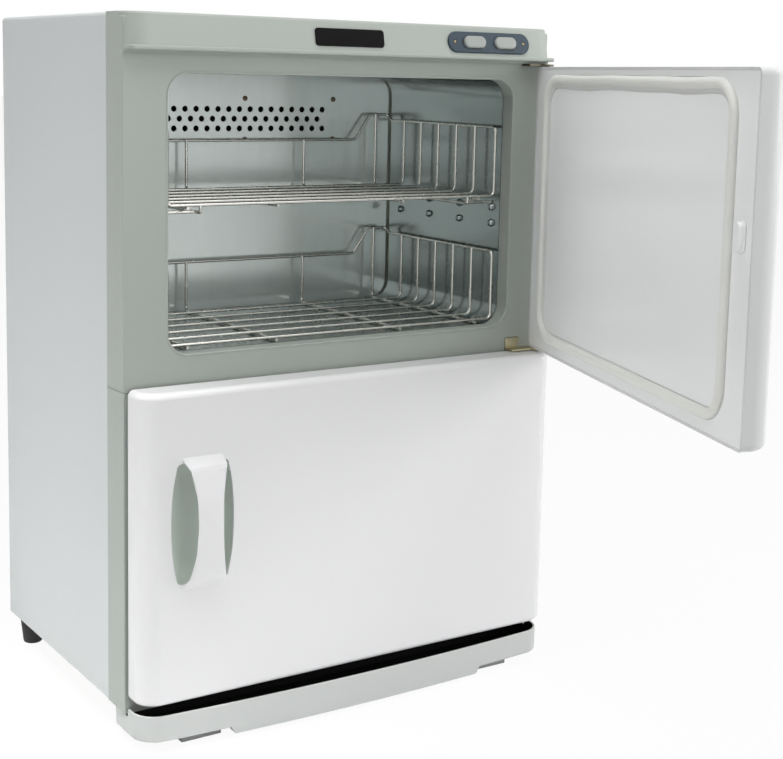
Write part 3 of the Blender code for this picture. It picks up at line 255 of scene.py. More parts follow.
FINISHES = {
    "white_paint": finish("semi_gloss_paint", (200, 204, 204), 0.32, mottle=0.012, bump=0.05, grain=900,
                          level=0.36),
    "frame_grey": finish("satin_grey_plastic", (171, 177, 171), 0.42, mottle=0.025, bump=0.06, grain=1400,
                         level=0.15),
    "door_white": finish("gloss_white_plastic", (229, 229, 230), 0.16, mottle=0.01, bump=0.012, grain=160),
    "lining_white": finish("gloss_lining", (253, 255, 254), 0.16, mottle=0.015, bump=0.002, grain=60,
                           level=0.35),
    "liner_metal": finish("satin_aluminium", (150, 158, 157), 0.22, metal=1.0, mottle=0.04,
                          stretch=(1, 1, 14), grain=300),
    "rack_wire": finish("bright_plated_wire", (206, 205, 199), 0.27, metal=1.0, mottle=0.04, grain=900),
    "seal_rubber": finish("cream_silicone", (241, 242, 235), 0.45, mottle=0.03, patch=30, bump=0.05,
                          grain=700),
    "cup_grey": finish("satin_cup_plastic", (190, 200, 191), 0.45, mottle=0.03, bump=0.06, grain=1400),
    "tray_grey": finish("satin_tray_plastic", (198, 201, 199), 0.45, mottle=0.02, bump=0.05, grain=1400,
                        level=0.27),
    "black_plastic": finish("dark_plastic", (9, 9, 9), 0.35, mottle=0.15, bump=0.03, level=0.06),
    "bezel_blue": finish("dull_blue_plastic", (36, 54, 67), 0.40, mottle=0.06, bump=0.05, grain=1200,
                         level=0.3),
    "button_white": finish("cream_cap_plastic", (150, 155, 151), 0.30, mottle=0.02, bump=0.03, grain=900),
    "zinc_steel": finish("passivated_zinc", (188, 180, 150), 0.30, metal=1.0, mottle=0.10, patch=60,
                         bump=0.06, grain=700),
    "black_rubber": finish("matt_rubber", (46, 46, 47), 0.75, mottle=0.12, bump=0.10, grain=900),
    "foam": finish("foam_filling", (206, 198, 168), 0.90, mottle=0.10, patch=50, bump=0.40, grain=500),
    # The lamp glass is kept near black, so the holes in the back wall read black
    "lamp_glass": finish("near_black_lamp_glass", (34, 35, 38), 0.20, mottle=0.06, level=0.1),
    "heater_film": finish("amber_film", (178, 112, 60), 0.45, mottle=0.08, patch=40),
    "led_amber": finish("amber_lens", (150, 132, 98), 0.15, mottle=0.05, patch=200, coat=0.5),
}
FOOT_GREY = finish("grey_foot_plastic", (150, 152, 150), 0.55, mottle=0.06, bump=0.08, grain=1000)
REAR_METAL = finish("rolled_aluminium", (242, 249, 246), 0.16, metal=0.62, mottle=0.04,
                    stretch=(14, 1, 1), grain=300)
# A darker zinc for the top hinge bracket: painted shade
SHADED_ZINC = finish("painted_shade_zinc", (92, 88, 76), 0.45, metal=1.0, mottle=0.10, patch=60, bump=0.06,
                     grain=700)
# Near black for the inside of the tray's trough: painted shade
TROUGH_PAINTED_SHADE = finish("painted_shade_trough", (30, 31, 30), 0.6, mottle=0.15, bump=0.05, level=0.1)
# Near black for the zinc lamp boxes behind the back wall's holes: painted shade
LAMP_BOX_PAINTED_SHADE = finish("dark_box_paint", (20, 20, 19), 0.6, mottle=0.15, bump=0.05, level=0.1)
SCREW_STEEL = finish("screw_steel", (120, 104, 84), 0.35, metal=1.0, mottle=0.12, patch=300, bump=0.05)
MOULDED = {"mottle": 0.01, "bump": 0.012, "grain": 160}
GRIP_WHITE = finish("satin_grip_plastic", (230, 230, 231), 0.40, level=0.10, **MOULDED)
# A darker copy of the grip plastic for its upward faces: painted shade
GRIP_PAINTED_SHADE = finish("painted_shade_shoulder_plastic", (212, 212, 213), 0.40, level=0.10, **MOULDED)

# The open door's free end: painted shade, darker copies of the door plastic, toned by how squarely a face looks
# along the door
END_SHADE_STEPS = [(0.25, 222), (0.50, 215), (0.80, 207)]
END_PAINTED_SHADES = []
for step, (_, grey) in enumerate(END_SHADE_STEPS):
    shade_tone = (grey, grey + 2, grey + 1)
    END_PAINTED_SHADES.append(finish(f"painted_shade_end_plastic_{step}", shade_tone, 0.30, level=0.20, **MOULDED))

# The gasket's silicone lets light through
SEAL_SOCKETS = FINISHES["seal_rubber"].node_tree.nodes["Principled BSDF"].inputs
SEAL_SOCKETS["Subsurface Weight"].default_value = 0.7
SEAL_SOCKETS["Subsurface Radius"].default_value = (1.0, 1.0, 0.9)
SEAL_SOCKETS["Subsurface Scale"].default_value = 0.006


# Outlines and meshes

def fillet(points, radius, steps=6, closed=False):
    """Rounds the corners of a path; radius is one size or one per point."""
    path = [Vector(p) for p in points]
    sizes = radius if isinstance(radius, (list, tuple)) else [radius] * len(path)
    out = []
    for i, here in enumerate(path):
        if not closed and i in (0, len(path) - 1):
            out.append(here)
            continue
        back = (path[i - 1] - here).normalized()
        ahead = (path[(i + 1) % len(path)] - here).normalized()
        half = back.angle(ahead) / 2
        if math.degrees(half) > 89:
            out.append(here)
            continue
        centre = here + (back + ahead).normalized() * (sizes[i] / math.sin(half))
        start = here + back * (sizes[i] / math.tan(half)) - centre
        end = here + ahead * (sizes[i] / math.tan(half)) - centre
        turn = start.angle(end)
        for k in range(steps + 1):
            share = k / steps
            mix = start * math.sin((1 - share) * turn) + end * math.sin(share * turn)
            out.append(centre + mix / math.sin(turn))
    return out


def quarter(steps):
    """The angles of a quarter turn, from zero up, in equal steps."""
    return [math.pi / 2 * k / steps for k in range(steps + 1)]


def rectangle(x0, z0, x1, z1, radius, steps=12):
    return fillet([(x0, z0), (x1, z0), (x1, z1), (x0, z1)], radius, steps, closed=True)


def stadium(half_length, half_height, steps=16):
    """A slot outline with round ends, about its middle."""
    out = []
    for side in (1, -1):
        for k in range(steps + 1):
            a = -math.pi / 2 + math.pi * k / steps
            x = side * (half_length - half_height + half_height * math.cos(a))
            out.append(Vector((x, side * half_height * math.sin(a))))
    return out


def ellipse(half_width, half_height, sides=72, middle=(0, 0)):
    turn = 2 * math.pi / sides
    spots = []
    for k in range(sides):
        across = middle[0] + half_width * math.cos(k * turn)
        up = middle[1] + half_height * math.sin(k * turn)
        spots.append(Vector((across, up)))
    return spots


def mouth_outline(half_width, half_height):
    """The handle hole's outline: bulged sides and rounded corners, stretched to a size."""
    steps = 24
    turns = 8
    bend = CUP_CORNER / CUP_HALF_HEIGHT
    spots = []
    for k in range(steps + 1):
        t = (1 - bend) * (2 * k / steps - 1)
        spots.append(Vector((CUP_HALF_WIDTH - CUP_BULGE * abs(t) ** 2.4, t * CUP_HALF_HEIGHT)))
    end = spots[-1].x - CUP_CORNER
    for a in quarter(turns)[1:]:
        rise = CUP_HALF_HEIGHT - CUP_CORNER + CUP_CORNER * math.sin(a)
        spots.append(Vector((end + CUP_CORNER * math.cos(a), rise)))
    right = [Vector((p.x, -p.y)) for p in reversed(spots[-turns:])] + spots
    wide = half_width / CUP_HALF_WIDTH
    tall = half_height / CUP_HALF_HEIGHT
    return [Vector((side * p.x * wide, side * p.y * tall)) for side in (1, -1) for p in right]


def encloses(outline, spot):
    """Whether a flat outline goes round a spot."""
    inside = False
    for i, here in enumerate(outline):
        last = outline[i - 1]
        if (here.y > spot.y) != (last.y > spot.y):
            cross = here.x + (last.x - here.x) * (spot.y - here.y) / (last.y - here.y)
            inside = inside != (spot.x < cross)
    return inside


def lift(outline, axis, height):
    """Puts a flat outline into space, across the named axis."""
    if axis == "X":
        return [Vector((height, p[0], p[1])) for p in outline]
    if axis == "Y":
        return [Vector((p[0], height, p[1])) for p in outline]
    return [Vector((p[0], p[1], height)) for p in outline]


def skin(loops, bm=None, caps=True, ring=False):
    """Faces through loops of equal length: capped at both ends, open, or closed into a ring."""
    bm = bm or bmesh.new()
    rings = [[bm.verts.new(p) for p in loop] for loop in loops]
    count = len(rings[0])
    following = rings[1:] + rings[:1] if ring else rings[1:]
    for low, high in zip(rings, following):
        for k in range(count):
            n = (k + 1) % count
            bm.faces.new((low[k], low[n], high[n], high[k]))
    if caps and not ring:
        bm.faces.new(rings[0])
        bm.faces.new(rings[-1])
    return bm


def prism(outline, axis, low, high, bm=None):
    return skin([lift(outline, axis, low), lift(outline, axis, high)], bm)


def block(low, high, bm=None):
    corners = [(low[0], low[1]), (high[0], low[1]), (high[0], high[1]), (low[0], high[1])]
    return prism(corners, "Z", low[2], high[2], bm)


def rounded_plate(outline, thick, edge, back):
    """A flat plate with a rounded front edge; outline gives its shape at an inset."""
    front = back - thick
    loops = [lift(outline(0), "Y", back)]
    for a in quarter(4):
        loops.append(lift(outline(edge * (1 - math.cos(a))), "Y", front + edge * (1 - math.sin(a))))
    return skin(loops)


def tube(path, radius, sides=12, closed=False, bm=None):
    """A round wire along a path in space."""
    bm = bm or bmesh.new()
    count = len(path)
    rings = []
    normal = None
    for i, here in enumerate(path):
        before = path[i - 1] if closed or i else here
        after = path[(i + 1) % count] if closed or i < count - 1 else here
        along = ((here - before).normalized() + (after - here).normalized()).normalized()
        if normal is None:
            normal = along.cross(Vector((0, 0, 1)))
            normal = normal if normal.length > 0.1 else Vector((1, 0, 0))
        normal = (normal - along * normal.dot(along)).normalized()
        side = along.cross(normal)
        ring = []
        for k in range(sides):
            a = 2 * math.pi * k / sides
            ring.append(here + normal * (radius * math.cos(a)) + side * (radius * math.sin(a)))
        rings.append(ring)
    return skin(rings, bm, ring=closed)


def moved(bm, offset):
    bmesh.ops.translate(bm, verts=bm.verts, vec=Vector(offset))
    return bm


def scratch_object(bm):
    bmesh.ops.recalc_face_normals(bm, faces=bm.faces)
    mesh = bpy.data.meshes.new("scratch")
    bm.to_mesh(mesh)
    bm.free()
    obj = bpy.data.objects.new("scratch", mesh)
    bpy.context.scene.collection.objects.link(obj)
    return obj


def carved(bm, tool, operation="DIFFERENCE"):
    """A mesh with another cut out of it, or joined on."""
    pair = (scratch_object(bm), scratch_object(tool))
    mod = pair[0].modifiers.new("carve", "BOOLEAN")
    mod.solver = "EXACT"
    mod.operation = operation
    mod.object = pair[1]
    graph = bpy.context.evaluated_depsgraph_get()
    out = bmesh.new()
    out.from_mesh(pair[0].evaluated_get(graph).to_mesh())
    for obj in pair:
        mesh = obj.data
        bpy.data.objects.remove(obj)
        bpy.data.meshes.remove(mesh)
    return out


def make(name, bm, body, slot, place=CABINET, stands_for=(), edge=0.0, angle=32, mat=None):
    """A shown piece that rides on a body, with smooth faces between its sharp edges."""
    bmesh.ops.transform(bm, matrix=place, verts=bm.verts)
    bmesh.ops.recalc_face_normals(bm, faces=bm.faces)
    mesh = bpy.data.meshes.new(name)
    bm.to_mesh(mesh)
    bm.free()
    mesh.materials.append(mat or FINISHES[slot])
    mesh.polygons.foreach_set("use_smooth", [True] * len(mesh.polygons))
    mesh.set_sharp_from_angle(angle=math.radians(angle))
    obj = bpy.data.objects.new(name, mesh)
    bpy.context.scene.collection.objects.link(obj)
    if edge:
        rounding = obj.modifiers.new("edges", "BEVEL")
        rounding.width = edge
        rounding.segments = 3
        rounding.limit_method = "ANGLE"
        rounding.angle_limit = math.radians(angle + 8)
    evened = obj.modifiers.new("shading", "WEIGHTED_NORMAL")
    evened.keep_sharp = True
    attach(obj, body)
    if stands_for:
        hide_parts(*stands_for)
    return obj


def dress(node, mat, edge=0.0):
    """Gives a CAD node its finish, and round edges where they show."""
    obj = NODES[node]
    obj.data.materials.clear()
    obj.data.materials.append(mat)
    if not edge:
        return
    stored = obj.data.attributes.get("custom_normal")
    if stored:
        obj.data.attributes.remove(stored)
    obj.data.polygons.foreach_set("use_smooth", [True] * len(obj.data.polygons))
    weld = obj.modifiers.new("weld", "WELD")
    weld.merge_threshold = 0.00002
    rounding = obj.modifiers.new("edges", "BEVEL")
    rounding.width = edge
    rounding.segments = 2
    rounding.limit_method = "ANGLE"
    rounding.angle_limit = math.radians(35)
    rounding.harden_normals = True
    split = obj.modifiers.new("sharp", "EDGE_SPLIT")
    split.split_angle = math.radians(40)


# Casing and front frames

def casing():
    """The bent sheet of two sides and the top."""
    def bend(inset):
        half, top = HALF - inset, CASE_TOP - inset
        corners = [(-half, FOOT_HEIGHT), (-half, top), (half, top), (half, FOOT_HEIGHT)]
        return fillet(corners, CASE_BEND - inset, 10)

    outline = bend(0) + bend(SHEET)[::-1]
    bm = prism(outline, "Y", FRAME_DEPTH + GAP, CASE_BACK)
    make("casing_sheet", bm, "cabinet", "white_paint", stands_for=("outer_casing",), edge=0.0003)


def opening_outline(deck, grow):
    low, high, half = opening_of(deck)
    return rectangle(-half - grow, low - grow, half + grow, high + grow, OPENING_RADIUS + grow)


def frame_ring(deck, low, high):
    """A moulded front: face, raised bead round the opening, short return and hollow back."""
    edge = 0.0012
    mid_edge = edge * 0.29
    corner = 0.0016

    def outer(inset, y):
        return lift(rectangle(-HALF + inset, low + inset, HALF - inset, high - inset, corner), "Y", y)

    def inner(grow, y):
        return lift(opening_outline(deck, grow), "Y", y)

    loops = [outer(0, FRAME_DEPTH), outer(0, edge), outer(mid_edge, mid_edge), outer(edge, 0)]
    bead = [(0.0023, 0.0), (0.0018, -0.0002), (0.0014, -0.0006), (0.0007, -0.0008), (0.0000, -0.0005),
            (-0.0003, 0.0002), (-0.0003, 0.0012), (-0.0002, 0.0022), (0.0, 0.0030)]
    loops += [inner(grow, y) for grow, y in bead]
    loops += [inner(0, RETURN_DEPTH), inner(WALL, RETURN_DEPTH), inner(WALL, WALL)]
    loops += [outer(WALL, WALL), outer(WALL, FRAME_DEPTH)]
    return skin(loops, ring=True)


def header_loop(reach, z):
    """The visor's outline in plan at one height, its front corners rounded."""
    corners = [(-HALF, FRAME_DEPTH), (-HALF, -reach), (HALF, -reach), (HALF, FRAME_DEPTH)]
    return lift(fillet(corners, HEADER_CORNER, 14), "Z", z)


def visor():
    """The leaning visor, rounded at its foot and its crown."""
    lean = HEADER_REACH - HEADER_LEAN
    start = lean + HEADER_LEAN * HEADER_CROWN / (CASE_TOP - HEADER_BOTTOM)
    foot = 0.0022
    loops = []
    for a in quarter(5):
        reach = HEADER_REACH - foot * (1 - math.sin(a))
        loops.append(header_loop(reach, HEADER_BOTTOM + foot * (1 - math.cos(a))))
    for a in quarter(6):
        reach = start - HEADER_CROWN * (1 - math.cos(a))
        loops.append(header_loop(reach, CASE_TOP - HEADER_CROWN * (1 - math.sin(a))))
    return skin(loops)


def ledge():
    """The fine ledge along the visor's foot, with tighter corners than the visor."""
    half = HALF - 0.0006
    back = 0.002
    corner = 0.005
    profile = [(-0.0002, 0.0000), (0.0007, 0.0004), (0.0011, 0.0012), (0.0011, 0.0026), (0.0008, 0.0034),
               (-0.0004, 0.0038)]
    loops = []
    for reach, z in profile:
        front = -HEADER_REACH - reach
        corners = [(-half, back), (-half, front), (half, front), (half, back)]
        loops.append(lift(fillet(corners, corner, 8), "Z", HEADER_BOTTOM + z))
    return skin(loops)


def hinge_pocket(node):
    """The recess in a frame that an upright hinge leaf sits in."""
    x = HALF - LEAF_INSET
    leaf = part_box(node)[0].z + (PIN_LENGTH if node == "middle_hinge_bracket" else 0)
    return block((x - GAP, -CLEAR, leaf - GAP), (x + LEAF_WIDTH + GAP, PLATE, leaf + LEAF_RISE + GAP))


def front_frames():
    """The two moulded fronts; the upper one has the visor, its lip, its ledge and the switch window."""
    ring_drop = 0.004
    overlap = 0.001
    window_rim = 0.0035
    cap_room = 0.001
    window_depth = 0.012
    upper = frame_ring("upper", UPPER_FRAME_BOTTOM, CASE_TOP - ring_drop)
    upper = carved(upper, visor(), "UNION")
    corners = [(-HALF, overlap), (-HALF, -LIP_REACH), (HALF, -LIP_REACH), (HALF, overlap)]
    lip = prism(fillet(corners, LIP_REACH, 10), "Z", LIP_BOTTOM, HEADER_BOTTOM + overlap)
    upper = carved(upper, lip, "UNION")
    upper = carved(upper, ledge(), "UNION")
    slot = stadium(BEZEL_LENGTH / 2 - window_rim, CAP_HEIGHT / 2 + cap_room)
    window = prism(slot, "Y", -CLEAR, window_depth)
    bmesh.ops.transform(window, matrix=CABINET.inverted() @ SWITCH_PANEL, verts=window.verts)
    upper = carved(upper, window)
    upper = carved(upper, hinge_pocket("middle_hinge_bracket"))
    make("upper_frame_moulding", upper, "cabinet", "frame_grey", stands_for=("upper_front_frame",))
    lower = frame_ring("lower", FRAME_BOTTOM, UPPER_FRAME_BOTTOM - FRAME_SEAM)
    lower = carved(lower, hinge_pocket("bottom_hinge_bracket"))
    make("lower_frame_moulding", lower, "cabinet", "frame_grey", stands_for=("lower_front_frame",))


# Compartments

LINER_FRONT = 0.0153
LINER_BACK = 0.2165
LINER_SEAM = 0.0030
LAMP_DROP = 0.0459
WALL_FLANGE = 0.004
WALL_SCREWS = (-0.110, 0.004, 0.110)
WALL_SCREW_RISE = 0.021
WALL_SCREW_RADIUS = 0.0026


def pip_level(deck):
    return opening_of(deck)[0] + LINER_TRIM + SHELF_RISE - PIP_RADIUS


def pip_depth(column):
    return RACK_FRONT + PIP_START + column * PIP_PITCH


def liner(deck):
    """The folded metal tunnel with its pressed pips, a hair short of the back wall."""
    half = opening_of(deck)[2]
    loops = []
    for grow, y in ((SHEET - LINER_TRIM, LINER_FRONT), (SHEET - LINER_TRIM, LINER_BACK - LINER_SEAM),
                    (-LINER_TRIM, LINER_BACK - LINER_SEAM), (-LINER_TRIM, LINER_FRONT)):
        loops.append(lift(opening_outline(deck, grow), "Y", y))
    bm = skin(loops, ring=True)
    wall = half - LINER_TRIM
    dome = [(1.25, -0.02), (1.06, 0.06), (1.0, 0.2), (0.95, 0.5), (0.8, 0.78), (0.55, 0.93), (0.25, 1.0)]
    for side in (-1, 1):
        for z in (pip_level(deck), pip_level(deck) - PIP_ROWS):
            for column in range(4):
                rings = []
                for share, out in dome:
                    disc = ellipse(PIP_RADIUS * share, PIP_RADIUS * share, 20, (pip_depth(column), z))
                    rings.append(lift(disc, "X", side * (wall - PIP_REACH * out)))
                skin(rings, bm)
    make(f"{deck}_liner_sheet", bm, "cabinet", "liner_metal", stands_for=(f"{deck}_liner",))


def lamp_level(deck):
    return opening_of(deck)[1] - LAMP_DROP


def rear_wall(deck):
    """The back wall, punched with three staggered rows of holes."""
    y = LINER_BACK + GAP
    bm = bmesh.new()
    outlines = [opening_outline(deck, SHEET - LINER_TRIM + WALL_FLANGE)]
    for row in (-1, 0, 1):
        count = HOLE_COLUMNS - (row == 0)
        for column in range(count):
            x = HOLE_SHIFT + (column - (count - 1) / 2) * HOLE_PITCH
            outlines.append(ellipse(HOLE_RADIUS, HOLE_RADIUS, 20, (x, lamp_level(deck) + row * HOLE_ROW)))
    edges = []
    for outline in outlines:
        ring = [bm.verts.new(p) for p in lift(outline, "Y", y)]
        edges += [bm.edges.new((ring[k], ring[(k + 1) % len(ring)])) for k in range(len(ring))]
    bmesh.ops.triangle_fill(bm, edges=edges, use_beauty=True, normal=Vector((0, -1, 0)))
    sheet = bmesh.ops.extrude_face_region(bm, geom=list(bm.faces))
    far = [v for v in sheet["geom"] if isinstance(v, bmesh.types.BMVert)]
    bmesh.ops.translate(bm, verts=far, vec=Vector((0, SHEET, 0)))
    panel = f"{deck}_rear_panel"
    make(f"{deck}_rear_wall", bm, "cabinet", "liner_metal", stands_for=(panel,), mat=REAR_METAL)
    number = 0
    for x in WALL_SCREWS:
        for rise in (-WALL_SCREW_RISE, WALL_SCREW_RISE):
            number += 1
            spot = CABINET @ Matrix.Translation((x, y, lamp_level(deck) + rise))
            screw(f"{deck}_wall_screw_{number}", spot, WALL_SCREW_RADIUS)


def screw(name, place, radius):
    """A small pan head with a cross recess, facing the part's front."""
    profile = [(1.0, 0.0), (1.0, 0.25), (0.93, 0.48), (0.75, 0.66), (0.45, 0.78), (0.15, 0.82)]
    head = skin([lift(ellipse(radius * r, radius * r, 24), "Y", -radius * h) for r, h in profile])
    cut = radius * 0.16
    reach = radius * 0.62
    above = -radius * 2
    bottom = -radius * 0.45
    head = carved(head, block((-reach, above, -cut), (reach, bottom, cut)))
    head = carved(head, block((-cut, above, -reach), (cut, bottom, reach)))
    make(name, head, "cabinet", "zinc_steel", place, mat=SCREW_STEEL)


# Wire baskets

def rack_frame():
    """The closed edge wire: low front bar, raised sides and a back rail that dips in the middle."""
    half, deep = RACK_HALF, RACK_DEPTH
    start = half - CREST_LENGTH
    corner = half - 0.003
    side = [(half, 0, 0), (half, 0, RACK_HEIGHT), (half, deep - CREST_RUN, RACK_HEIGHT),
            (corner, deep, RACK_CREST), (start, deep, RACK_CREST), (start - CREST_SLOPE, deep, RACK_DIP)]
    mirrored = [(-x, y, z) for x, y, z in reversed(side)]
    return fillet([(0, 0, 0)] + side + [(0, deep, RACK_DIP)] + mirrored, WIRE_BEND, 7, closed=True)


def shelf_feet(bm):
    """A shelf's low runners, and the short bearers that reach from them out to the pips."""
    stop = RACK_DEPTH * (RACK_WIRES - 1) / RACK_WIRES
    runner = RACK_HALF - RUNNER_INSET
    wall = opening_of("upper")[2] - LINER_TRIM - SHEET
    for side in (-1, 1):
        x = side * runner
        path = [(x, 0, WELD), (x, 0, -RUNNER_DROP), (x, stop, -RUNNER_DROP), (x, stop, WELD)]
        tube(fillet(path, RUNNER_BEND, 7), WIRE, bm=bm)
        for column in (0, 2):
            y = pip_depth(column) - RACK_FRONT
            tube([Vector((x, y, -RUNNER_DROP)), Vector((side * wall, y, -RUNNER_DROP))], WIRE, bm=bm)


def rack(name):
    """A welded basket of round wire."""
    bm = tube(rack_frame(), WIRE, closed=True)
    reach = RACK_HALF - CROSS_INSET
    for k in range(1, RACK_WIRES):
        y = RACK_DEPTH * k / RACK_WIRES
        path = [(-reach, y, RACK_HEIGHT), (-reach, y, 0), (reach, y, 0), (reach, y, RACK_HEIGHT)]
        tube(fillet(path, CROSS_BEND, 7), WIRE, bm=bm)
    under = -2 * WIRE + WELD
    back = RACK_DEPTH - 2 * WIRE + WELD
    outer = RACK_HALF - CREST_LENGTH + WIRE_BEND
    tops = ((-outer, RACK_CREST), (-LONG_WIRE, RACK_DIP), (LONG_WIRE, RACK_DIP), (outer, RACK_CREST))
    for x, top in tops:
        tube(fillet([(x, -WIRE, under), (x, back, under), (x, back, top)], WIRE_BEND, 7), WIRE, bm=bm)
    foot = 3 * WIRE - WELD
    if "shelf" in name:
        foot = RUNNER_DROP + WIRE
        shelf_feet(bm)
    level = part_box(name)[0].z + foot
    place = CABINET @ Matrix.Translation((0, RACK_FRONT, level))
    make(f"{name}_wires", bm, name, "rack_wire", place, (name,))


# Doors, built shut about the hinge line

def door_outline(inset, rear):
    """A door's outline in plan, seen from above, with rounded front edges."""
    x0, x1 = -DOOR_HALF + inset - HINGE_X, DOOR_HALF - inset - HINGE_X
    front = DOOR_FRONT + inset - HINGE_Y
    back = rear - HINGE_Y
    return fillet([(x0, back), (x0, front), (x1, front), (x1, back)], DOOR_CORNER - inset, 14)


def shrunk(outline, inset):
    """Pulls a door outline in by a margin at its front and its sides."""
    left, right = outline[0].x, outline[-1].x
    front = min(p.y for p in outline)
    back = outline[0].y
    width = (right - left - 2 * inset) / (right - left)
    depth = (back - front - inset) / (back - front)
    middle = (left + right) / 2
    return [Vector((middle + (p.x - middle) * width, back - (back - p.y) * depth)) for p in outline]


def handle_place(door):
    """The handle's middle on a door's front face, from the hinge line."""
    return Vector((-HALF + HANDLE_INSET - HINGE_X, DOOR_FRONT - HINGE_Y, door[0] + HANDLE_RISE))


def door_skin(deck):
    """The outer skin with rounded edges and the finger cup's mouth; the open door's end carries painted shade."""
    low, high = door_span(deck)
    rear = DOOR_REARS[deck]
    full = door_outline(0, rear)
    loops = []
    turn = quarter(7)
    for a in turn:
        outline = shrunk(full, DOOR_EDGE * (1 - math.sin(a)))
        loops.append(lift(outline, "Z", low + DOOR_EDGE * (1 - math.cos(a))))
    for a in reversed(turn):
        outline = shrunk(full, DOOR_EDGE * (1 - math.sin(a)))
        loops.append(lift(outline, "Z", high - DOOR_EDGE * (1 - math.cos(a))))
    past = 2 * CLEAR
    room = prism(door_outline(DOOR_WALL, rear + past), "Z", low + DOOR_WALL, high - DOOR_WALL)
    bm = carved(skin(loops), room)
    mouth = prism(mouth_outline(CUP_HALF_WIDTH, CUP_HALF_HEIGHT), "Y", -past, DOOR_WALL + 0.002)
    bm = carved(bm, moved(mouth, handle_place((low, high))))
    body = f"{deck}_door"
    shell = make(f"{body}_skin", bm, body, "door_white", DOOR_PLACES[deck], (f"{body}_shell",), edge=0.0006)
    if deck == "lower":
        return
    # Faces turned towards the free end take darker copies of the plastic: painted shade
    end = DOOR_PLACES[deck].to_3x3() @ Vector((-1, 0, 0))
    for mat in END_PAINTED_SHADES:
        shell.data.materials.append(mat)
    for face in shell.data.polygons:
        face.material_index = sum(face.normal.dot(end) > limit for limit, _ in END_SHADE_STEPS)


def grip(deck):
    """The bowed grip bar: a steep shoulder at its top, a waist, and a soft run into the skin below."""
    middle = handle_place(door_span(deck))
    bow = [(0.0650, 0.0040), (0.0592, 0.0004), (0.0516, -0.0126), (0.0240, -0.0172), (0.0, -0.0182),
           (-0.0260, -0.0168), (-0.0490, -0.0118), (-0.0592, 0.0003), (-0.0720, 0.0006)]
    bends = [0, 0.004, 0.006, 0.060, 0.100, 0.060, 0.010, 0.006, 0]
    spine = fillet(bow, bends, 10)
    half_length = 0.0585
    flare_above = 3.2
    flare_below = 2.2
    shoulder = 0.0530
    corner_run = 0.0060
    corner_cut = 0.0012
    edge = STRAP_THICK / 2
    sides = 32
    soft = 0.55
    facing_up = 0.45
    loops = []
    for i, here in enumerate(spine):
        before = spine[max(i - 1, 0)]
        after = spine[min(i + 1, len(spine) - 1)]
        along = (after - before).normalized()
        outward = Vector((0, along.x, -along.y))
        t = min(abs(here.x) / half_length, 1)
        corner = min(max(here.x - shoulder, 0) / corner_run, 1)
        flare = t ** (flare_above if here.x > 0 else flare_below)
        half = (STRAP_WAIST + (STRAP_END - STRAP_WAIST) * flare) / 2 - corner_cut * corner ** 2
        base = middle + Vector((0, here.y, here.x))
        section = []
        for k in range(sides):
            a = 2 * math.pi * (k + 0.5) / sides
            across = half * math.copysign(abs(math.cos(a)) ** soft, math.cos(a))
            out = edge * math.copysign(abs(math.sin(a)) ** soft, math.sin(a))
            section.append(base + Vector((across, 0, 0)) + outward * (out - edge))
        loops.append(section)
    body = f"{deck}_door"
    bar = make(f"{body}_grip", skin(loops), body, "door_white", DOOR_PLACES[deck], angle=60, mat=GRIP_WHITE)
    # Faces turned upward take the darker copy: painted shade on the shoulder
    bar.data.materials.append(GRIP_PAINTED_SHADE)
    for face in bar.data.polygons:
        face.material_index = 1 if face.normal.z > facing_up else 0


def finger_cup(deck):
    """The bowl behind the grip."""
    seat = DOOR_WALL + GAP
    bowl = [(0.10, 1.0), (0.35, 0.985), (0.55, 0.95), (0.70, 0.87), (0.80, 0.76), (0.88, 0.60),
            (0.94, 0.42), (0.98, 0.2), (1.0, 0.0)]
    thick = 0.0016
    rings = [(s, s, seat + CUP_DEPTH * d) for s, d in bowl]
    rim = 0.004
    rim_size = (1 + rim / CUP_HALF_WIDTH, 1 + rim / CUP_HALF_HEIGHT)
    rings += [(*rim_size, seat), (*rim_size, seat + thick)]
    wide = thick / CUP_HALF_WIDTH
    for s, d in reversed(bowl[:-1]):
        rings.append((s + wide, s + wide / 2, seat + CUP_DEPTH * d + thick))
    loops = [lift(mouth_outline(CUP_HALF_WIDTH * w, CUP_HALF_HEIGHT * h), "Y", y) for w, h, y in rings]
    bm = moved(skin(loops), handle_place(door_span(deck)))
    body = f"{deck}_door"
    make(f"{body}_bowl", bm, body, "cup_grey", DOOR_PLACES[deck], (f"{body}_handle_cup",))


def seal_line(deck, grow):
    """The gasket's line from the hinge: outside the opening, its top run a little lower."""
    low, high, half = opening_of(deck)
    edge = SEAL_OUTSIDE + grow
    x = SEAL_SHIFT - HINGE_X
    top = high + edge - SEAL_DROP
    return rectangle(x - half - edge, low - edge, x + half + edge, top, OPENING_RADIUS + edge)


def lining(deck):
    """The flat lining inside the skin's rim, grooved for the gasket."""
    low, high = door_span(deck)
    corner = 0.004
    flare = 0.0006

    def outline(inset):
        side = DOOR_WALL + inset
        half = DOOR_HALF - side
        return rectangle(-half - HINGE_X, low + side, half - HINGE_X, high - side, corner - inset)

    # With signs turned, the plate faces the cabinet and its edge flares into the skin's rim
    plate = rounded_plate(outline, PANEL_REAR - PANEL_FACE, -flare, PANEL_REAR - HINGE_Y)
    half = SEAL_HALF + GAP
    bottom = PANEL_FACE - GROOVE
    above = PANEL_FACE + 0.005
    loops = []
    for offset, y in ((half, bottom), (half, above), (-half, above), (-half, bottom)):
        loops.append(lift(seal_line(deck, offset), "Y", y - HINGE_Y))
    plate = carved(plate, skin(loops, ring=True))
    body = f"{deck}_door"
    make(f"{body}_lining", plate, body, "lining_white", DOOR_PLACES[deck], (f"{body}_inner_panel",))


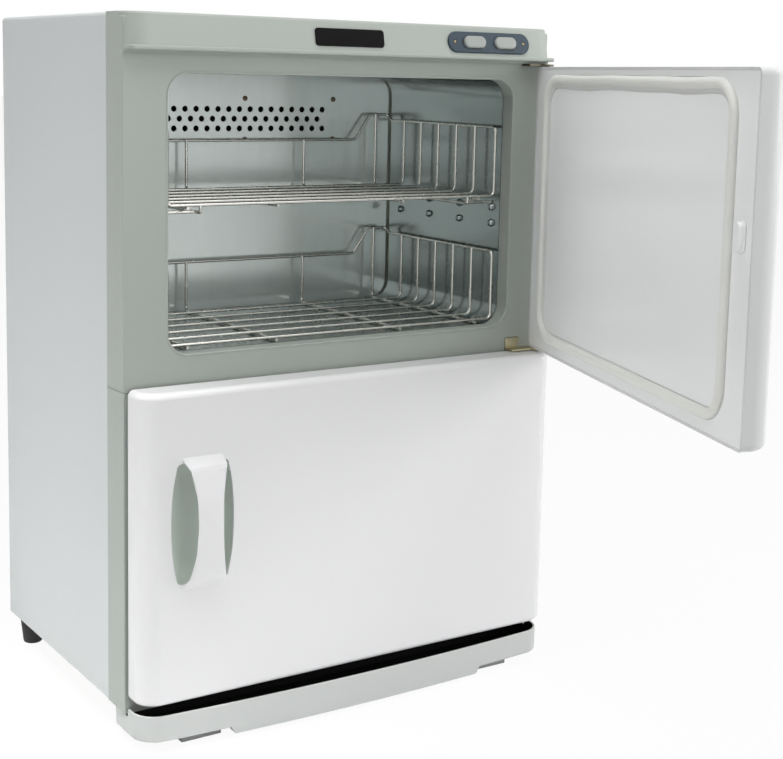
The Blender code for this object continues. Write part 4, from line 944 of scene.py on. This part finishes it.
def resampled(outline, step):
    """Evenly spaced points round a closed outline, each with its outward direction."""
    spots = []
    count = len(outline)
    for i, here in enumerate(outline):
        following = outline[(i + 1) % count]
        run = (following - here).length
        parts = max(1, round(run / step))
        spots += [here.lerp(following, k / parts) for k in range(parts)]
    out = []
    for i, here in enumerate(spots):
        along = (spots[(i + 1) % len(spots)] - spots[i - 1]).normalized()
        out.append((here, Vector((along.y, -along.x))))
    return out


def gasket(deck):
    """A soft bulb seal with a thin inner skirt: its runs waver, and its ends meet at the bottom."""
    low, high = opening_of(deck)[:2]
    line = resampled(seal_line(deck, 0), 0.004)
    foot = PANEL_FACE - GROOVE + GAP
    crest = -0.0011
    bottom_limit = -0.0046
    tall = crest - foot
    waver = 0.0016
    waver_rate = 16
    ripple_depth = 0.04
    ripple_rate = 40
    joint_half = 0.0012
    joint_depth = 0.12
    bulb_side = -0.003
    profile = [(-0.0085, 0.0), (SEAL_HALF, 0.0), (SEAL_HALF, 0.38), (0.0043, 0.62), (0.0032, 0.83),
               (0.0017, 0.96), (0.0, 1.0), (-0.0017, 0.95), (-0.0028, 0.80), (-0.0036, 0.55),
               (-0.0044, 0.36), (-0.0064, 0.30), (-0.0082, 0.24)]
    loops = []
    for offset, height in profile:
        loop = []
        for here, outward in line:
            level = abs(outward.y)
            wave = noise.noise(Vector((here.x * waver_rate, here.y * waver_rate, 3.1))) * waver * level
            skirt = wave * (1.4 if offset < bulb_side else 0.55)
            joint = math.exp(-((here.x + HINGE_X) / joint_half) ** 2) if here.y < (low + high) / 2 else 0
            ripple = noise.noise(Vector((here.x * ripple_rate, here.y * ripple_rate, 7.0))) + 1
            rise = height * (1 - joint_depth * joint - ripple_depth * ripple)
            reach = offset + skirt
            if outward.y < -0.1:
                reach = max(reach, bottom_limit)
            spot = here + outward * reach
            loop.append(Vector((spot.x, foot + tall * rise - HINGE_Y, spot.y)))
        loops.append(loop)
    body = f"{deck}_door"
    bulb = skin(loops, ring=True)
    make(f"{body}_gasket", bulb, body, "seal_rubber", DOOR_PLACES[deck], (f"{body}_seal",), angle=70)


def catch(deck):
    """The magnet catch: a raised lozenge on a thin pill-shaped foot."""
    low, high = door_span(deck)
    middle = Vector((-HALF + CATCH_INSET - HINGE_X, 0, (low + high) / 2 + CATCH_RISE))
    foot = PANEL_FACE + GAP - HINGE_Y
    top = -0.0006 - HINGE_Y
    steps = [(0.0125, 0.0062, foot), (0.0125, 0.0062, foot + 0.0009), (0.0122, 0.0059, foot + 0.0012),
             (0.0112, 0.0053, foot + 0.0014), (0.0110, 0.0051, top - 0.0012),
             (0.0106, 0.0047, top - 0.0004), (0.0096, 0.0038, top)]
    loops = []
    for long, wide, y in steps:
        loops.append(lift([Vector((p.y, p.x)) for p in stadium(long, wide)], "Y", y))
    body = f"{deck}_door"
    stud = moved(skin(loops), middle)
    white = FINISHES["lining_white"]
    make(f"{body}_stud", stud, body, "door_white", DOOR_PLACES[deck], (f"{body}_catch",), mat=white)


# Controls

PLATE_EDGE = 0.0009
LED_INSET = 0.0075
CAP_PLAY = 0.0005
CAP_BACK = 0.0040
CAP_EDGE = 0.0016
BADGE_CORNER = 0.003
BADGE_THICK = 0.0014
BADGE_EDGE = 0.0006


def controls():
    """The switch plate with its two caps and lenses, and the bare badge."""
    def pill(length, height):
        return lambda inset: stadium(length / 2 - inset, height / 2 - inset)

    plate = rounded_plate(pill(BEZEL_LENGTH, BEZEL_HEIGHT), BEZEL_THICK, PLATE_EDGE, -GAP)
    led_place = BEZEL_LENGTH / 2 - LED_INSET
    for side in (-1, 1):
        hole = stadium(CAP_LENGTH / 2 + CAP_PLAY, CAP_HEIGHT / 2 + CAP_PLAY)
        hole = [p + Vector((side * CAP_PITCH / 2, 0)) for p in hole]
        plate = carved(plate, prism(hole, "Y", -CLEAR, CLEAR))
        eye = ellipse(LED_RADIUS + GAP, LED_RADIUS + GAP, 20, (side * led_place, 0))
        plate = carved(plate, prism(eye, "Y", -CLEAR, CLEAR))
    make("switch_plate", plate, "cabinet", "bezel_blue", SWITCH_PANEL, ("control_bezel",))
    for side, word in ((-1, "heat"), (1, "uv")):
        cap = rounded_plate(pill(CAP_LENGTH, CAP_HEIGHT), CAP_BACK + CAP_FRONT, CAP_EDGE, CAP_BACK)
        moved(cap, (side * CAP_PITCH / 2, 0, 0))
        make(f"{word}_cap", cap, f"{word}_button", "button_white", SWITCH_PANEL, (f"{word}_button",))
        stations = [(0.9, 0.002), (1, -0.0012), (0.94, -0.0018), (0.75, -0.0023), (0.4, -0.0026)]
        lens = skin([lift(ellipse(LED_RADIUS * s, LED_RADIUS * s, 20), "Y", y) for s, y in stations])
        moved(lens, (side * led_place, 0, 0))
        make(f"{word}_lens", lens, "cabinet", "led_amber", SWITCH_PANEL, (f"{word}_indicator",))

    def plaque(inset):
        x, z = BADGE_LENGTH / 2 - inset, BADGE_HEIGHT / 2 - inset
        return rectangle(-x, -z, x, z, BADGE_CORNER - inset)

    badge = rounded_plate(plaque, BADGE_THICK, BADGE_EDGE, -GAP)
    make("bare_badge", badge, "cabinet", "black_plastic", BADGE_PLACE, ("badge_plate",))


# Drip tray

def tray_outline(inset):
    """The tray in plan: straight ends, rounded front corners and a bowed front."""
    half = TRAY_HALF - inset
    reach = TRAY_REACH - inset
    back = TRAY_BACK - inset
    radius = TRAY_CORNER - inset
    points = fillet([(-half, back), (-half, -reach), (half, -reach), (half, back)], radius, 14)
    out = []
    for i, p in enumerate(points):
        bow = TRAY_BOW * (1 - (p.x / half) ** 2) if p.y < -reach + radius else 0
        out.append(Vector((p.x, p.y - bow)))
        following = points[(i + 1) % len(points)]
        if following.x - p.x > half:
            for k in range(1, 24):
                x = p.x + (following.x - p.x) * k / 24
                out.append(Vector((x, -reach - TRAY_BOW * (1 - (x / half) ** 2))))
    return out


def drip_tray():
    """The bowed trough with its front lip, its inside painted near black as shade."""
    foot = 0.0030
    rim = 0.0009
    loops = []
    for a in quarter(5):
        outline = tray_outline(foot * (1 - math.sin(a)))
        loops.append(lift(outline, "Z", TRAY_BOTTOM + foot * (1 - math.cos(a))))
    for a in quarter(4):
        loops.append(lift(tray_outline(rim * (1 - math.cos(a))), "Z", TRAY_RIM - rim * (1 - math.sin(a))))
    for a in quarter(4)[1:]:
        outline = tray_outline(DOOR_WALL - rim * (1 - math.sin(a)))
        loops.append(lift(outline, "Z", TRAY_RIM - rim * (1 - math.cos(a))))
    loops.append(lift(tray_outline(DOOR_WALL + 0.001), "Z", TRAY_BOTTOM + DOOR_WALL))
    bm = skin(loops)
    room = 0.0015
    beyond = (HALF + CLEAR, TRAY_BACK + CLEAR, TRAY_RIM + CLEAR)
    bm = carved(bm, block((-HALF - CLEAR, -room, FRAME_BOTTOM - room), beyond))
    front = [p for p in tray_outline(foot) if abs(p.x) < TRAY_LIP_HALF and p.y < 0]
    loops = []
    lip_depth = 0.010
    sunk = 0.0001
    for z, spread in ((TRAY_BOTTOM - TRAY_LIP, 0.0), (TRAY_BOTTOM + foot * 1.2, TRAY_LIP)):
        stretch = (TRAY_LIP_HALF + spread) / TRAY_LIP_HALF
        near = [Vector((p.x * stretch, p.y - foot + sunk)) for p in front]
        far = [Vector((p.x, p.y + lip_depth)) for p in reversed(near)]
        loops.append(lift(near + far, "Z", z))
    bm = carved(bm, skin(loops), "UNION")
    tray = make("tray_moulding", bm, "drip_tray", "tray_grey", stands_for=("drip_tray",), edge=0.0004)
    # Faces inside the trough take the near-black finish: painted shade
    tray.data.materials.append(TROUGH_PAINTED_SHADE)
    wall = tray_outline(DOOR_WALL - 0.0002)
    for face in tray.data.polygons:
        spot = face.center - Vector((0, SEAT, 0))
        trough = spot.z > TRAY_BOTTOM + 0.001 and face.normal.z > -0.5
        face.material_index = 1 if trough and encloses(wall, spot) else 0


# Everything in its place

def build():
    """Makes the shown pieces, then gives the CAD nodes that stay their finishes."""
    casing()
    front_frames()
    for deck in ("upper", "lower"):
        liner(deck)
        rear_wall(deck)
        rack(f"{deck}_shelf_rack")
        rack(f"{deck}_floor_rack")
        door_skin(deck)
        grip(deck)
        finger_cup(deck)
        lining(deck)
        gasket(deck)
        catch(deck)
    controls()
    drip_tray()
    soft_edge = 0.0004
    for part in frame["record"]["subparts"]:
        node = part["node"]
        if NODES[node].hide_render:
            continue
        shows = node in ("rear_cover", "inlet_gland", "base_plate") or "bracket" in node or "foot" in node
        edge = soft_edge if shows else 0.0
        mat = FINISHES[part["material_slot"]]
        if "front_foot" in node:
            mat = FOOT_GREY
        # The lamp boxes take the near-black finish: painted shade seen through the holes
        if "lamp_box" in node:
            mat = LAMP_BOX_PAINTED_SHADE
        # The top hinge bracket takes the darker zinc: painted shade
        if node == "top_hinge_bracket":
            mat = SHADED_ZINC
        dress(node, mat, edge)


# Studio: white surround, pale floor, soft lamps and the photograph's camera

AMBIENT = 0.05
FLOOR_GLOW = 0.94


def surround():
    """Weak even light from all round, and white where the background is looked at."""
    world = bpy.data.worlds.new("surround")
    bpy.context.scene.world = world
    world.use_nodes = True
    tree = world.node_tree
    tree.nodes.clear()
    out = tree.nodes.new("ShaderNodeOutputWorld")
    ambient = tree.nodes.new("ShaderNodeBackground")
    ambient.inputs["Color"].default_value = (0.97, 0.985, 1.0, 1)
    ambient.inputs["Strength"].default_value = AMBIENT
    white = tree.nodes.new("ShaderNodeBackground")
    white.inputs["Color"].default_value = (1, 1, 1, 1)
    white.inputs["Strength"].default_value = 1.0
    blend = tree.nodes.new("ShaderNodeMixShader")
    tree.links.new(seen_ray(tree), blend.inputs["Fac"])
    tree.links.new(ambient.outputs["Background"], blend.inputs[1])
    tree.links.new(white.outputs["Background"], blend.inputs[2])
    tree.links.new(blend.outputs["Shader"], out.inputs["Surface"])


def seen_ray(tree):
    """One for rays that look at a thing, directly, in a reflection or through glass."""
    path = tree.nodes.new("ShaderNodeLightPath")
    first = tree.nodes.new("ShaderNodeMath")
    first.operation = "ADD"
    second = tree.nodes.new("ShaderNodeMath")
    second.operation = "ADD"
    second.use_clamp = True
    tree.links.new(path.outputs["Is Camera Ray"], first.inputs[0])
    tree.links.new(path.outputs["Is Glossy Ray"], first.inputs[1])
    tree.links.new(first.outputs["Value"], second.inputs[0])
    tree.links.new(path.outputs["Is Transmission Ray"], second.inputs[1])
    return second.outputs["Value"]


def floor():
    """A pale floor: it shows near white, and keeps the cabinet's soft shadow."""
    size = 30.0
    bm = bmesh.new()
    corners = [bm.verts.new((x * size, y * size, 0)) for x, y in ((-1, -1), (1, -1), (1, 1), (-1, 1))]
    bm.faces.new(corners)
    mesh = bpy.data.meshes.new("floor")
    bm.to_mesh(mesh)
    bm.free()
    mat = bpy.data.materials.new("pale_floor")
    mat.use_nodes = True
    tree = mat.node_tree
    shader = tree.nodes["Principled BSDF"]
    shader.inputs["Base Color"].default_value = (0.80, 0.80, 0.80, 1)
    shader.inputs["Roughness"].default_value = 0.9
    shader.inputs["Specular IOR Level"].default_value = 0.0
    glow = tree.nodes.new("ShaderNodeEmission")
    glow.inputs["Strength"].default_value = 1.0
    blend = tree.nodes.new("ShaderNodeMixShader")
    share = tree.nodes.new("ShaderNodeMath")
    share.operation = "MULTIPLY"
    share.inputs[1].default_value = FLOOR_GLOW
    tree.links.new(seen_ray(tree), share.inputs[0])
    tree.links.new(share.outputs["Value"], blend.inputs["Fac"])
    tree.links.new(shader.outputs["BSDF"], blend.inputs[1])
    tree.links.new(glow.outputs["Emission"], blend.inputs[2])
    tree.links.new(blend.outputs["Shader"], tree.nodes["Material Output"].inputs["Surface"])
    mesh.materials.append(mat)
    obj = bpy.data.objects.new("floor", mesh)
    bpy.context.scene.collection.objects.link(obj)


def lamp(name, place, target, width, height, power, spread=180):
    """A soft rectangular lamp that faces a target; spread narrows its beam."""
    light = bpy.data.lights.new(name, "AREA")
    light.shape = "RECTANGLE"
    light.size = width
    light.size_y = height
    light.energy = power
    light.spread = math.radians(spread)
    obj = bpy.data.objects.new(name, light)
    bpy.context.scene.collection.objects.link(obj)
    obj.location = place
    obj.rotation_euler = (Vector(target) - Vector(place)).to_track_quat("-Z", "Y").to_euler()


EYE = (-0.72883, -1.09707, 0.58807)
EYE_HEADING = 33.6351
EYE_PITCH = -7.9485
EYE_ROLL = 1.2737
PHOTO_WIDTH = 783
PHOTO_FOCAL = 1497.77
AXIS_SHIFT = -0.12
SENSOR = 36.0


def camera():
    """The photograph's camera, fitted to its straight edges; the shift is in widths of the picture."""
    data = bpy.data.cameras.new("photo_camera")
    data.sensor_width = SENSOR
    data.lens = PHOTO_FOCAL / PHOTO_WIDTH * SENSOR
    data.shift_y = AXIS_SHIFT
    heading, pitch, roll = (math.radians(a) for a in (EYE_HEADING, EYE_PITCH, EYE_ROLL))
    level = math.cos(pitch)
    aim = Vector((math.sin(heading) * level, math.cos(heading) * level, math.sin(pitch)))
    turn = aim.to_track_quat("-Z", "Y").to_matrix() @ Matrix.Rotation(roll, 3, "Z")
    obj = bpy.data.objects.new("photo_camera", data)
    bpy.context.scene.collection.objects.link(obj)
    obj.matrix_world = Matrix.Translation(EYE) @ turn.to_4x4()
    bpy.context.scene.camera = obj


build()
surround()
floor()
lamp("overhead_softbox", (0.0, -0.6, 2.6), (0, 0, 0), 2.4, 2.4, 44)
lamp("front_softbox", (0.5, -2.4, 1.0), (0, 0, 0.35), 2.0, 1.6, 18)
lamp("left_softbox", (-1.8, 0.1, 1.9), (0, 0.1, 0.3), 1.5, 1.5, 16)
lamp("right_softbox", (2.3, -1.25, 1.1), (0, 0, 0.35), 1.5, 1.5, 33)
lamp("left_floor_light", (-0.95, 0.1, 1.7), (-0.55, 0.20, 0), 0.5, 0.5, 2.1, 35)
camera()
bpy.context.scene.view_settings.view_transform = "Standard"
